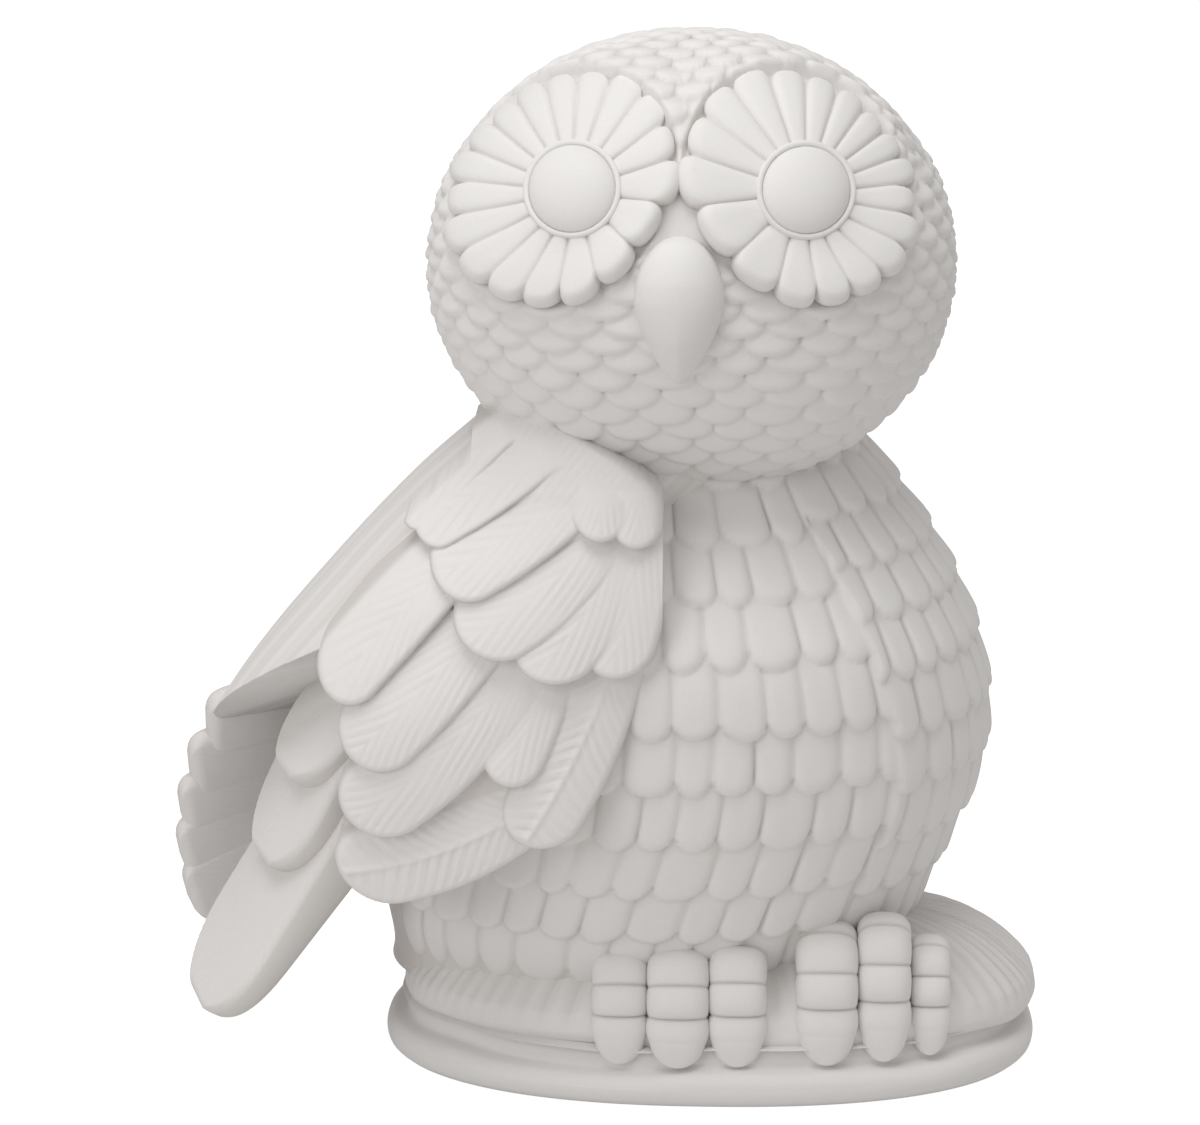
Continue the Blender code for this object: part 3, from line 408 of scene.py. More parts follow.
# A rosette's mean radius, its stretch along one slant, its trim at the bridge of each eye, its rise
# under the brow, the radius of the hole that the eye lies in, and how far in its rim is rolled
ROSETTE_RADIUS = 22 * MM
ROSETTE_STRETCH = 1.7 * MM
ROSETTE_SLANT = math.radians(50)
ROSETTE_BRIDGE = {"right": 2.2 * MM, "left": -1.4 * MM}
ROSETTE_RISE = 0.8 * MM
ROSETTE_HOLE = 8.5 * MM
PETAL_RIM = 3.3 * MM

# Latitudes on the head and the height of a row of scales there; a crown pebble's length and width
SCALE_LATITUDES = np.radians([-75, -45, -5, 25, 50, 90])
SCALE_PITCHES = np.array([6.0, 4.7, 3.3, 3.6, 4.6, 5.0]) * MM
PEBBLE_LENGTH, PEBBLE_WIDTH = 5.2 * MM, 7.0 * MM

# Height of the eye's dome, half the bezel's width, the beak's depth and the share of these pieces'
# balls that makes the hidden back
EYE_PEAK = 3.0 * MM
BEZEL_HALF = 0.55 * MM
BEAK_DEPTH = 7.6 * MM
BEAK_POINT = 1.45
BACK_SHARE = 0.2


def face_axes():
    """The directions out of the face plane and up it."""
    tilt = settings("owl_face").tilt
    return np.array((0, -math.cos(tilt), math.sin(tilt))), np.array((0, math.sin(tilt), math.cos(tilt)))


def head_excess(points):
    """Below zero inside the head's egg, above zero outside it."""
    fullness = settings("owl_face").egg_fullness
    local = (points - HEAD_CENTRE) / HEAD_HALF
    flat = np.abs(local[:, 0]) ** fullness + np.abs(local[:, 1]) ** fullness
    return flat ** (2 / fullness) + local[:, 2] ** 2 - 1


def egg_normals(points):
    step = 0.05 * MM
    slopes = []
    for axis in np.eye(3) * step:
        slopes.append(head_excess(points + axis) - head_excess(points - axis))
    normals = np.stack(slopes, axis=1)
    return normals / np.linalg.norm(normals, axis=1, keepdims=True)


def drape(across, up):
    """The points of the egg straight behind points of the face plane, and its normals there."""
    forward, upward = face_axes()
    start = HEAD_CENTRE + np.outer(across, (1, 0, 0)) + np.outer(up, upward)
    near, far = np.zeros(len(start)), np.full(len(start), 2 * HEAD_HALF[0])
    for _ in range(36):
        middle = (near + far) / 2
        inside = head_excess(start + middle[:, None] * forward) < 0
        near, far = np.where(inside, middle, near), np.where(inside, far, middle)
    points = start + near[:, None] * forward
    return points, egg_normals(points)


def on_face(points):
    """Places on the face plane, with the egg's middle as zero."""
    upward = face_axes()[1]
    local = points - HEAD_CENTRE
    return local[:, 0], local @ upward


def eye_on_face(side):
    """Where an eye's middle lies on the face plane."""
    normal = egg_normals(EYES[side])
    return on_face(EYES[side] - normal * EYE_STANDOFF)[0][0], on_face(EYES[side])[1][0]


def rosette_outline(turn, side):
    """The radius of a rosette: a little longer towards the brow's middle and the outer cheek."""
    inward = turn if side == "right" else math.pi - turn
    stretch = ROSETTE_STRETCH * np.cos(2 * (inward - ROSETTE_SLANT))
    bridge = ROSETTE_BRIDGE[side] * np.cos(inward)
    return ROSETTE_RADIUS + stretch - bridge + ROSETTE_RISE * np.sin(turn)


def scale_rows(latitude):
    """The row of scales that a latitude lies in, counted from the top, at the rows' own pitches."""
    steps = np.linspace(math.pi / 2, -math.pi / 2, 400)
    pitch = np.interp(steps, SCALE_LATITUDES, SCALE_PITCHES)
    rows = np.concatenate([[0], np.cumsum(np.abs(np.diff(steps)) * HEAD_HALF[2] / pitch[1:])])
    return np.interp(-latitude, -steps, rows)


def scale_pattern(rows, column_of, tip_start, tip, root, power, seed):
    """Overlapping scales: column_of(row) gives each point's column in a row; the highest one shows."""
    height = np.zeros(len(rows))
    for behind in (0, 1, 2):
        row = np.floor(rows) - behind
        column = column_of(row)
        feather = np.floor(column)
        uneven = jitter(row, feather, seed)
        across = (2 * (column - feather) - 1) * (1.0 + 0.05 * uneven)
        shape = shingle(
            across, rows - row, tip_start, tip + 0.06 * uneven, root, power, flare=1.6, roll=0.42)
        height = np.maximum(height, shape * (1 + 0.10 * uneven))
    return height


def head_relief(points):
    """Height of the carved scales over the egg, height of the brow's rim, and how bare it lies."""
    face = settings("owl_face")
    local = (points - HEAD_CENTRE) / HEAD_HALF
    unit = local / np.linalg.norm(local, axis=1, keepdims=True)
    latitude = np.arcsin(np.clip(unit[:, 2], -1, 1))
    longitude = np.arctan2(local[:, 0], -local[:, 1])
    crown = ease((latitude - math.radians(22)) / math.radians(14))
    chin = ease((math.radians(-14) - latitude) / math.radians(45))

    known = np.linspace(1.5, -1.5, 90)

    def cheek_column(row):
        ring = np.interp(row + 0.8, scale_rows(known), known)
        count = np.maximum(np.round(TAU * HEAD_HALF[0] * np.cos(ring) / face.scale_width), 7)
        return longitude / TAU * count + 0.5 * (row % 2) + 0.16 * wobble(1.7, row * 2.9, longitude * 6)

    cheek_rows = scale_rows(latitude) + 0.10 * wobble(3.0, longitude * 4, latitude * 5)
    cheek = scale_pattern(
        cheek_rows, cheek_column, tip_start=0.98, tip=0.86, root=0.10, power=3.4, seed=5.0)
    over = np.arctan2(np.abs(unit[:, 1]), unit[:, 2]) * HEAD_HALF[1] / PEBBLE_LENGTH
    sideways = np.arcsin(np.clip(unit[:, 0], -1, 1)) * HEAD_HALF[0] / PEBBLE_WIDTH

    def crown_column(row):
        return sideways + 0.5 * (row % 2) + 0.15 * wobble(4.0, row * 1.9, sideways * 0.9)

    pebbles = scale_pattern(
        over + 0.12 * wobble(6.0, sideways, over), crown_column,
        tip_start=0.62, tip=0.62, root=0.12, power=3.0, seed=7.0)
    height = cheek * (1 - crown) + pebbles * crown
    relief = face.scale_relief * (1 - 0.35 * chin) * (1 - 0.35 * crown)
    front = ease(-local[:, 1] * 4)
    across, up = on_face(points)
    bare = np.zeros(len(points))
    rim = np.zeros(len(points))
    inside = np.ones(len(points))
    for side in EYES:
        middle_across, middle_up = eye_on_face(side)
        reach = np.hypot(across - middle_across, up - middle_up)
        turn = np.arctan2(up - middle_up, across - middle_across)
        outline = rosette_outline(turn, side)
        bare = np.maximum(bare, 1 - ease((reach - outline + 1.2 * MM) / (1.6 * MM)))
        overhang = ease((np.sin(turn) - 0.05) / 0.7)
        beyond = reach - outline
        inside = np.minimum(inside, ease((beyond + 0.9 * MM) / (0.9 * MM)))
        rim = np.maximum(rim, overhang * ease(1 - beyond / (11 * MM)))
    bridge = ease(1.25 - np.hypot(across / (8.5 * MM), (up - 6 * MM) / (14 * MM)))
    bare = np.maximum(bare, bridge) * front
    height = relief * height * (1 - bare)
    return height, rim * inside * front * face.brow, bare


class OWL_OT_head(bpy.types.Operator):
    """Carve the head with its cheek scales, crown pebbles and brow"""
    bl_idname = "owl.head"
    bl_label = "Head"

    def execute(self, context):
        fullness = settings("owl_face").egg_fullness

        def shape(turn, level):
            turn = turn - 0.42 * np.sin(turn + math.pi / 2)
            latitude = (level - 0.5) * math.pi
            flat_x, flat_y = oval(turn, HEAD_HALF[0], HEAD_HALF[1], fullness)
            ring = np.cos(latitude)
            points = HEAD_CENTRE + np.stack(
                [flat_x * ring, flat_y * ring, HEAD_HALF[2] * np.sin(latitude)], axis=1)
            normals = egg_normals(points)
            height, rim, bare = head_relief(points)
            out = height + rim - HEAD_SEAT
            # Painted shade: darker where the scales lie low, between them and under their tips, none on
            # the bare face
            painted_shade = ease(1 - height / (0.7 * MM)) * (1 - bare) * 0.8
            return points + normals * out[:, None], painted_shade

        piece = carve("carved_head", ball(430, 226), shape)
        settle(piece, "bisque_body", bisque("bisque_head", streaks=0.05), "head")
        return {"FINISHED"}


def petal_layout():
    """Turns round the owl's right eye and the petals counted up to each: wider towards the beak."""
    face = settings("owl_face")
    turns = np.linspace(0, TAU, 721)
    toward_beak = np.angle(np.exp(1j * (turns + math.radians(32))))
    width = 1 + face.petal_spread * np.exp(-(toward_beak / math.radians(44)) ** 2)
    share = np.concatenate([[0], np.cumsum(1 / width[1:])])
    return turns, share / share[-1] * face.petals


def rosette_surface(side, turn, level):
    """Points of a closed rosette, from the middle of its underside over its rim to its middle."""
    face = settings("owl_face")
    middle_across, middle_up = eye_on_face(side)
    inward = np.mod(turn if side == "right" else math.pi - turn, TAU)
    turns, shares = petal_layout()
    petal = np.interp(inward, turns, shares) + 0.35
    across = 2 * (petal - np.floor(petal)) - 1
    uneven = jitter(np.floor(petal) % face.petals, 3.0, 8.0)
    under, recess = 0.10, 0.93
    rim = rosette_outline(turn, side) + 0.7 * MM * uneven
    rim = rim - face.petal_round * (1 - dome(across, 2.6))
    hole = ROSETTE_HOLE
    top = np.clip((level - under) / (recess - under), 0, 1)
    reach = rim + (hole - rim) * top ** 1.15
    reach = np.where(level < under, rim * level / under, reach)
    reach = np.where(level > recess, hole * (1 - level) / (1 - recess), reach)
    outer = (rim - reach) / PETAL_RIM
    flare = ease((reach - hole) / (rim - hole))
    pillow = face.petal_height * dome(across, 3.0) * np.where(outer < 1, dome(1 - outer, 2.2), 1)
    pillow = pillow * (0.5 + 0.5 * flare)
    low = ease((1 - np.sin(turn)) / 1.9)
    lift = face.dish * flare * (-0.25 + 1.25 * low) - 0.4 * MM * (1 - flare)
    thick = np.where(outer < 1, dome(1 - outer, 2.0), 1)
    rise = lift * thick + pillow + 0.2 * MM
    rise = np.where(level < under, -1.6 * MM, rise)
    rise = np.where(level > recess, -0.8 * MM, rise)
    points, normals = drape(middle_across + reach * np.cos(turn), middle_up + reach * np.sin(turn))
    # Painted shade: darker where a petal's pillow is low, between the petals and at their rounded ends
    painted_shade = ease(1 - pillow / (0.9 * MM)) * (level >= under) * (level <= recess)
    return points + normals * rise[:, None], painted_shade * 0.9


class OWL_OT_rosettes(bpy.types.Operator):
    """Model the petal rims of both eyes"""
    bl_idname = "owl.rosettes"
    bl_label = "Eye Rosettes"

    def execute(self, context):
        material = bisque("bisque_petals", streaks=0.04, stretch=(1, 1, 1))
        for side in EYES:
            piece = carve(
                "petals_" + side, ball(432, 110),
                lambda turn, level: rosette_surface(side, turn, level))
            settle(piece, "bisque_plumage", material, "eye_rosette_" + side)
        return {"FINISHED"}


class OWL_OT_eyes(bpy.types.Operator):
    """Model the smooth domes of the eyes and the thin bezels round them"""
    bl_idname = "owl.eyes"
    bl_label = "Eyes"

    def execute(self, context):
        smooth = bisque("bisque_eyes")
        for side in EYES:
            middle = eye_on_face(side)
            low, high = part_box("eye_dome_" + side)
            radius = (high.x - low.x) / 2 * 1.02

            def eyeball(turn, level):
                share = np.clip((1 - level) / (1 - BACK_SHARE), 0, 1)
                hidden = level < BACK_SHARE
                reach = radius * np.sin(share * math.pi / 2)
                height = EYE_PEAK * np.cos(share * math.pi / 2)
                reach = np.where(hidden, radius * level / BACK_SHARE, reach)
                height = np.where(hidden, -1.0 * MM, height)
                points, normals = drape(
                    middle[0] + reach * np.cos(turn), middle[1] + reach * np.sin(turn))
                return points + normals * (height + 0.1 * MM)[:, None], np.zeros(len(turn))

            dome_piece = carve("eyeball_" + side, ball(96, 60), eyeball)
            settle(dome_piece, "bisque_smooth", smooth, "eye_dome_" + side)
            bezel(side, middle, radius, smooth)
        return {"FINISHED"}


def bezel(side, middle, inner, material):
    """The thin ring round an eye: a small round section spun once and laid on the face."""
    mesh_data = bmesh.new()
    bmesh.ops.create_circle(mesh_data, segments=20, radius=BEZEL_HALF)
    bmesh.ops.rotate(mesh_data, verts=mesh_data.verts, matrix=Matrix.Rotation(math.pi / 2, 3, "X"))
    bmesh.ops.translate(mesh_data, verts=mesh_data.verts, vec=(inner + BEZEL_HALF * 0.9, 0, 0))
    bmesh.ops.spin(
        mesh_data, geom=[*mesh_data.verts, *mesh_data.edges], cent=(0, 0, 0), axis=(0, 0, 1),
        dvec=(0, 0, 0), angle=TAU, steps=120, use_merge=True, use_normal_flip=False,
        use_duplicate=False)
    bmesh.ops.recalc_face_normals(mesh_data, faces=mesh_data.faces)
    flat = np.array([vertex.co for vertex in mesh_data.verts])
    points, normals = drape(middle[0] + flat[:, 0], middle[1] + flat[:, 1])
    for vertex, place in zip(mesh_data.verts, points + normals * (flat[:, 2] + 0.5 * MM)[:, None]):
        vertex.co = place
    mesh = mesh_of("bezel_" + side, mesh_data)
    smooth_outward(mesh)
    settle(linked("bezel_" + side, mesh), "bisque_smooth", material, "eye_ring_" + side)


class OWL_OT_beak(bpy.types.Operator):
    """Model the almond beak with the soft ridge of its lower half"""
    bl_idname = "owl.beak"
    bl_label = "Beak"

    def execute(self, context):
        low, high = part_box("beak")
        middle_across = (low.x + high.x) / 2
        half_width = (high.x - low.x) / 2
        top = on_face(np.array([[middle_across, high.y, high.z]]))[1][0] - 1.3 * MM
        bottom = on_face(np.array([[middle_across, high.y, low.z]]))[1][0] + 2.0 * MM
        widest = bottom + (top - bottom) * 0.57
        across_middle = middle_across - HEAD_CENTRE[0]

        def shape(turn, level):
            cosine, sine = np.cos(turn), np.sin(turn)
            above = 1 / np.hypot(cosine / half_width, sine / (top - widest))
            corner = (
                np.abs(cosine / half_width) ** BEAK_POINT
                + np.abs(sine / (widest - bottom)) ** BEAK_POINT)
            below = corner ** (-1 / BEAK_POINT)
            rim = np.where(sine > 0, above, below)
            share = np.clip((1 - level) / (1 - BACK_SHARE), 0, 1)
            hidden = level < BACK_SHARE
            ring = np.sin(share * math.pi / 2)
            reach = np.where(hidden, rim * level / BACK_SHARE, rim * ring)
            up = reach * sine
            keel = ease(-up / (widest - bottom) * 1.6)
            round_top = np.cos(share * math.pi / 2)
            side_share = np.abs(cosine) * ring
            ridge = np.clip(round_top - 0.10 * keel * np.sqrt(side_share ** 2 + 0.002), 0, None)
            height = BEAK_DEPTH * (round_top * (1 - keel) + ridge * keel)
            taper = np.interp(up / (widest - bottom), [-1, -0.4, 0.2, 0.8], [0.75, 1, 1, 0.9])
            height = np.where(hidden, -1.5 * MM, height * taper)
            points, normals = drape(across_middle + reach * cosine, widest + up)
            return points + normals * height[:, None], np.zeros(len(turn))

        piece = carve("carved_beak", ball(144, 110), shape)
        settle(piece, "bisque_smooth", bisque("bisque_beak"), "beak")
        return {"FINISHED"}


# ---------------------------------------------------------------------------- torso

PLINTH_LOW, PLINTH_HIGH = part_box("base_plinth")
DECK = PLINTH_HIGH.z

# Height above the plinth, middle x, middle y, half width and half depth of the body's sections
BODY_SECTIONS = np.array((
    (0, -16, 9, 51, 36),
    (7, -14, 9, 51.5, 36),
    (19, -12.5, 8, 54.5, 41),
    (34, -8.5, 7, 57, 46.5),
    (49, -5, 5, 59, 49.5),
    (64, -4, 4, 59, 50.5),
    (79, -4.5, 3, 56, 49),
    (94, -6, 5, 50, 42),
    (107, -7.5, 9, 42, 35),
    (120, -8, 12, 33, 28),
)) * MM
BODY_FULLNESS = 2.15

# Height above the plinth of the feather tips of each tier: on the flank and on the breast
FLANK_TIERS = np.array((14.5, 24.5, 35.5, 47.0, 58.9, 70.1, 83.8, 93.7, 103.3)) * MM
BREAST_TIERS = np.array((21.0, 32.0, 43.5, 56.4, 67.1, 79.3, 89.5, 97.7, 106.3)) * MM
BREAST_EDGE = math.radians(-53)
BREAST_FAR_EDGE = math.radians(150)
# How far below the body's outline the feathers start, and the share of its height each end cap takes
BODY_SEAT = 0.35 * MM
BODY_CAP = 0.03


def body_point(angle, height):
    middle_x, middle_y, half_x, half_y = read_sections(BODY_SECTIONS, height)
    flat_x, flat_y = oval(angle, half_x, half_y, BODY_FULLNESS)
    return np.stack([middle_x + flat_x, middle_y + flat_y, DECK + height], axis=1)


def breast_edge(height):
    """The turn at which the breast's feathers lap over the flank's."""
    return BREAST_EDGE + math.radians(5) * np.sin(height / (105 * MM) * math.pi * 1.2)


def tier_heights(tiers):
    """The heights of the tiers' tips, with one more tier under the hem and two above the neck."""
    return np.concatenate([[-2 * MM], tiers, [tiers[-1] + 9 * MM, tiers[-1] + 18 * MM]])


def body_feathers(angle, height, tiers, seed):
    """Height (0 to 1) of the overlapping feathers, whose rows are counted downwards from the neck."""
    plumage = settings("owl_plumage")
    known = tier_heights(tiers)
    rows = np.interp(height, known, np.arange(len(known))[::-1])
    rows = rows + 0.07 * wobble(seed, angle * 5, height * 30)
    relief = np.zeros(len(angle))
    for behind in (0, 1):
        row = np.floor(rows) - behind
        down = rows - row
        levels = np.interp(row + 1, np.arange(len(known)), known[::-1])
        half = np.interp(levels, BODY_SECTIONS[:, 0], BODY_SECTIONS[:, 3:].sum(axis=1) / 2)
        count = np.round(TAU * half / plumage.feather_width)
        column = (angle + math.pi / 2) / TAU * count + jitter(row, 0, seed) * 0.5
        column = column + 0.16 * wobble(seed + row, column * 1.3)
        feather = np.floor(column)
        uneven = jitter(row, feather, seed + 2)
        across = 2 * (column - feather) - 1
        tip = 0.36 + 0.05 * uneven
        shape = shingle(across, down + 0.02 * uneven, 0.97, tip, root=0.12, power=3.6)
        relief = np.maximum(relief, shape)
    return relief


def body_relief(angle, height):
    """Height of the body's feathers, the breast's lapping over the flank's, and how they cover it."""
    plumage = settings("owl_plumage")
    edge = breast_edge(height)
    breast = body_feathers(angle, height, BREAST_TIERS, 4.0)
    flank = body_feathers(angle, height, FLANK_TIERS, 9.0)
    past = (angle - edge) * BODY_SECTIONS[:, 3].max()
    over = ease(past / (1.2 * MM) + 0.5) * ease((BREAST_FAR_EDGE - angle) * 8)
    lap = ease(1 - np.abs(past) / (9 * MM)) * (past > -0.6 * MM)
    lap = lap * band(height, 52 * MM, 88 * MM, 14 * MM)
    relief = flank * (1 - over) + breast * over
    near_neck = ease((118 * MM - height) / (8 * MM))
    low = ease((height - 8 * MM) / (14 * MM))
    from_back = np.abs(np.angle(np.exp(1j * (angle - math.pi))))
    back = ease((from_back - math.radians(22)) / math.radians(10))
    strength = near_neck * (0.35 + 0.65 * low) * back
    return plumage.feather_relief * relief * strength + 0.9 * MM * lap * over, relief * strength


class OWL_OT_torso(bpy.types.Operator):
    """Carve the torso with its tiers of breast feathers"""
    bl_idname = "owl.torso"
    bl_label = "Torso"

    def execute(self, context):
        low, high = 4 * MM, BODY_SECTIONS[-1, 0] - 1 * MM

        def shape(turn, level):
            turn = turn - 0.25 * np.sin(turn + math.radians(80))
            turn = np.angle(np.exp(1j * turn))
            share = np.clip((level - BODY_CAP) / (1 - 2 * BODY_CAP), 0, 1)
            height = low + (high - low) * share
            points = body_point(turn, height)
            normals = normals_of(body_point, turn, height, 0.002, 0.2 * MM)
            relief, covered = body_relief(turn, height)
            points = points + normals * (relief - BODY_SEAT)[:, None]
            shrink = np.clip(np.minimum(level, 1 - level) / BODY_CAP, 0, 1)
            middle = BODY_SECTIONS[5, 1:3]
            points[:, :2] = middle + (points[:, :2] - middle) * shrink[:, None]
            # Painted shade: darker where the body's feathers lie low, between them and under their tips
            return points, ease(1 - covered / 0.42) * 0.8

        material = bisque("bisque_breast", streaks=0.10, stretch=(1, 1, 0.07))
        settle(carve("carved_torso", ball(440, 224), shape), "bisque_body", material, "torso")
        return {"FINISHED"}


# ---------------------------------------------------------------------------- wings, mantle, tail

# Height above the plinth, middle x, middle y, half width and half depth of the mantle's sections
MANTLE_SECTIONS = np.array((
    (40, -70, -5, 38, 20), (55, -68, -4, 34, 25), (70, -58, 0, 34, 31), (90, -42, 3, 33, 34),
    (106, -28, 3, 32, 33), (117, -17, 2, 31, 30),
)) * MM
MANTLE_FULLNESS = 2.4
MANTLE_CAP = 0.02
# Height above the plinth, middle x and reach from the owl's middle plane in millimetres, of which
# only the height is turned into metres here, and the bend of the wing's outer face per metre
WING_FACE = np.array((
    (25, -42, 47, 4), (49, -40, 49.5, 4), (69, -38, 50, 5), (84, -32, 48, 6),
    (99, -26, 44, 9), (114, -20, 37, 18), (121, -20, 33, 20), (135, -20, 22, 22),
)) * (MM, 1, 1, 1)
FAR_WING_SHIFT = 7.4 * MM
# The part of the wing's face that its grid covers, its cells on the near and the far wing, and how far
# its back lies behind its face, with what it gains up to the shoulder
WING_FIELD = np.array(((-84, 27), (-2, 131))) * MM
WING_CELLS = {-1: 0.28 * MM, 1: 0.45 * MM}
WING_BACK, WING_BACK_GAIN = 6 * MM, 11 * MM
WING_DEEPEST = -16 * MM

# Root x, root height, tip x, tip height, half width, out at the root, out at the tip and bow in
# millimetres, and 1 for a feather with a shaft, from the lowest layer to the highest
WING_FEATHERS = {
    "primary_long": (-27.0, 59.4, -71.6, 39.4, 8.6, -4.0, -0.4, 3.6, 1),
    "primary_front": (-16.9, 85.8, -35.7, 46.5, 8.0, -3.0, 0.2, 1.5, 1),
    "secondary_short": (-30.0, 79.0, -40.1, 59.0, 6.4, -3.0, 0.5, 0, 0),
    "secondary_rear": (-42.5, 107.0, -73.4, 74.7, 6.8, -1.5, 1.4, -0.7, 0),
    "secondary_lower": (-33.0, 86.1, -69.2, 50.2, 8.6, -3.0, 0.8, 2.4, 0),
    "secondary_upper": (-39.6, 92.7, -68.8, 62.9, 8.4, -2.5, 1.1, 0.2, 0),
    "covert_front": (-13.1, 109.0, -19.4, 79.8, 7.2, -1.0, 1.7, 1.2, 0),
    "covert_lower": (-15.6, 108.2, -34.7, 80.6, 8.0, -1.4, 1.9, 2.5, 0),
    "covert_middle": (-18.1, 110.3, -47.4, 86.8, 8.2, -1.2, 2.3, 2.2, 0),
    "covert_upper": (-22.3, 115.9, -52.7, 97.3, 7.6, 0.4, 2.8, 0.3, 0),
    "scapular_long": (-30.6, 121.0, -57.2, 104.6, 5.2, 2.6, 3.2, 0.3, 0),
    "scapular_rear": (-39.0, 124.0, -59.8, 105.4, 3.8, 2.6, 3.3, 0, 0),
    "scapular_middle": (-20.4, 114.0, -21.6, 105.2, 6.3, 2.6, 3.2, 0, 0),
    "scapular_front": (-13.6, 114.0, -14.2, 103.8, 5.6, 2.6, 3.3, 0, 0),
}
FEATHER_THICKNESS = 2.6 * MM
# How far in a feather's edge is rounded, on the wings' sheets and on the single feathers
SHEET_RIM, FEATHER_RIM = 1.7 * MM, 2.4 * MM
SHEET_PILLOW = 0.9 * MM
SHAFT_HEIGHT, SHAFT_HALF = 0.38 * MM, 0.7 * MM
# Where a layer isn't there it is sunk this far
SUNK = -20 * MM
# The wing's body behind its feathers: a bar from its hub, its way down and back, length, half width
CORE_HUB = np.array((-23, 102.6)) * MM
CORE_WAY = np.array((-0.646, -0.763))
CORE_LENGTH, CORE_HALF = 59.4 * MM, 19 * MM
# Heights above the plinth, and how far the shoulder stands out of the wing's face there
SHOULDER_HEIGHTS = np.array((98, 101, 106, 113, 130)) * MM
SHOULDER_OUT = np.array((-3, -0.3, 3.2, 4.9, 5.5)) * MM


def wing_face(x, height):
    """Distance of the wing's outer face from the owl's middle plane."""
    middle, reach, bend = read_sections(WING_FACE, height)
    return reach * MM - bend * (x - middle * MM) ** 2


def wing_shift(side):
    """How much further out the far wing lies than the near one."""
    return FAR_WING_SHIFT if side > 0 else 0.0


def feather_layer(x, height, feather, number):
    """A wing feather's outer face: how far out it stands, how far outside it places lie, and the
    painted shade of its grooves.
    """
    root_x, root_h, tip_x, tip_h, half, out_root, out_tip, bow, shaft = feather
    plumage = settings("owl_plumage")
    root = np.array((root_x, root_h)) * MM
    way = np.array((tip_x, tip_h)) * MM - root
    length = np.hypot(*way)
    way = way / length
    down = np.array((way[1], -way[0]))
    down = down if down[1] < 0 else -down
    half = half * MM
    local_x, local_h = x - root[0], height - root[1]
    along = local_x * way[0] + local_h * way[1]
    level = along / length
    aside = local_x * down[0] + local_h * down[1] - bow * MM * 4 * level * (1 - level)
    straight = 1 - 1.05 * half / length
    wide = half * (0.85 + 0.15 * ease(level / 0.65))
    beyond = np.clip((level - straight) / (1 - straight), 0, None)
    edge = np.sqrt((aside / wide) ** 2 + beyond ** 2)
    outside = np.maximum((edge - 1) * wide, -along - 2 * MM)
    inward = np.maximum(-outside, 0)
    fade = ease((level + 0.08) / 0.18)
    lip = dome(1 - np.clip(inward / SHEET_RIM, 0, 1))
    angle = math.radians(13 + 17 * shaft)
    off_axis = np.abs(aside) + 0.5 * MM * wobble(number, along * 120)
    bent = off_axis * math.cos(angle) - along * math.sin(angle) * (1 + 0.25 * off_axis / wide)
    barb = bent / (plumage.barb_pitch * (1 + 0.15 * shaft))
    barb = barb + 0.25 * wobble(number + 3.0, along * 170, aside * 380)
    lines = np.sin(TAU * barb) + 0.35 * np.sin(TAU * 2.3 * barb + 1.0)
    patchy = 0.55 + 0.45 * wobble(number + 6.0, along * 260, aside * 700)
    clear = ease((inward - 0.5 * MM) / (1.5 * MM)) * ease(level * 2.5)
    depth = plumage.barb_depth * (0.75 + 0.5 * shaft) * patchy * clear
    rib = SHAFT_HEIGHT * shaft * np.exp(-(aside / SHAFT_HALF) ** 2) * clear
    pillow = SHEET_PILLOW * (1 - np.clip(aside / wide, -1, 1) ** 2)
    base = (out_root + (out_tip - out_root) * np.clip(level, -0.2, 1)) * MM
    tilt = 1.2 * MM * ease(length / (25 * MM))
    base = base + tilt * np.clip(aside / wide, -1, 1) * ease(level * 3.5)
    off = base + FEATHER_THICKNESS * (1 - fade * (1 - lip)) + pillow * fade + depth * lines + rib
    # Painted shade: darker at the feather's rounded rim and in its combed lines
    painted_shade = np.clip(0.9 * (1 - inward / (0.8 * MM)), 0, 1) * fade
    painted_shade = painted_shade + 0.3 * np.clip(-lines, 0, 1) * patchy * clear
    return np.where(outside < 0, off, SUNK), outside, painted_shade


def mantle_reach(x, height, side):
    """Distance of the mantle's side from the owl's middle plane."""
    middle_x, middle_y, half_x, half_y = read_sections(MANTLE_SECTIONS, height)
    share = np.clip(np.abs((x - middle_x) / half_x), 0, 0.999)
    return side * middle_y + half_y * (1 - share ** MANTLE_FULLNESS) ** (1 / MANTLE_FULLNESS)


def wing_front(height):
    """The wing's front edge: upright beside the breast, curving back under the head."""
    return -9.0 * MM - 85 * np.maximum(height - 109.5 * MM, 0) ** 2


def shoulder_layer(x, height, side):
    """The smooth shoulder that the upper feathers grow out of and that runs into the mantle."""
    out = np.interp(height, SHOULDER_HEIGHTS, SHOULDER_OUT)
    front = wing_front(height)
    middle, reach = read_sections(MANTLE_SECTIONS, height, (1, 3))
    rear = np.maximum(-43 * MM - 0.65 * (129 * MM - height), middle - 0.86 * reach)
    ahead, behind = x - front, rear - x
    outside = np.maximum(np.maximum(ahead, behind), 103 * MM - height)
    lip = dome(1 - np.clip(-ahead / (2.0 * MM), 0, 1))
    buried = mantle_reach(x, height, side) - wing_shift(side) - wing_face(x, height) - 1.5 * MM
    strand = (x * 0.8 - height * 0.6) / (1.5 * MM)
    lines = np.sin(TAU * strand + 1.6 * wobble(2.0, height * 90, x * 60))
    lines = lines * (0.6 + 0.4 * wobble(8.0, x * 320, height * 190))
    off = out - 2.6 * MM * (1 - lip)
    sinking = ease((rear + 7 * MM - x) / (10 * MM))
    off = off + (np.minimum(buried, off) - off) * sinking + 0.07 * MM * lines
    # Painted shade in the shoulder's fine lines
    return np.where(outside < 0, off, SUNK), outside, 0.25 * np.clip(-lines, 0, 1)


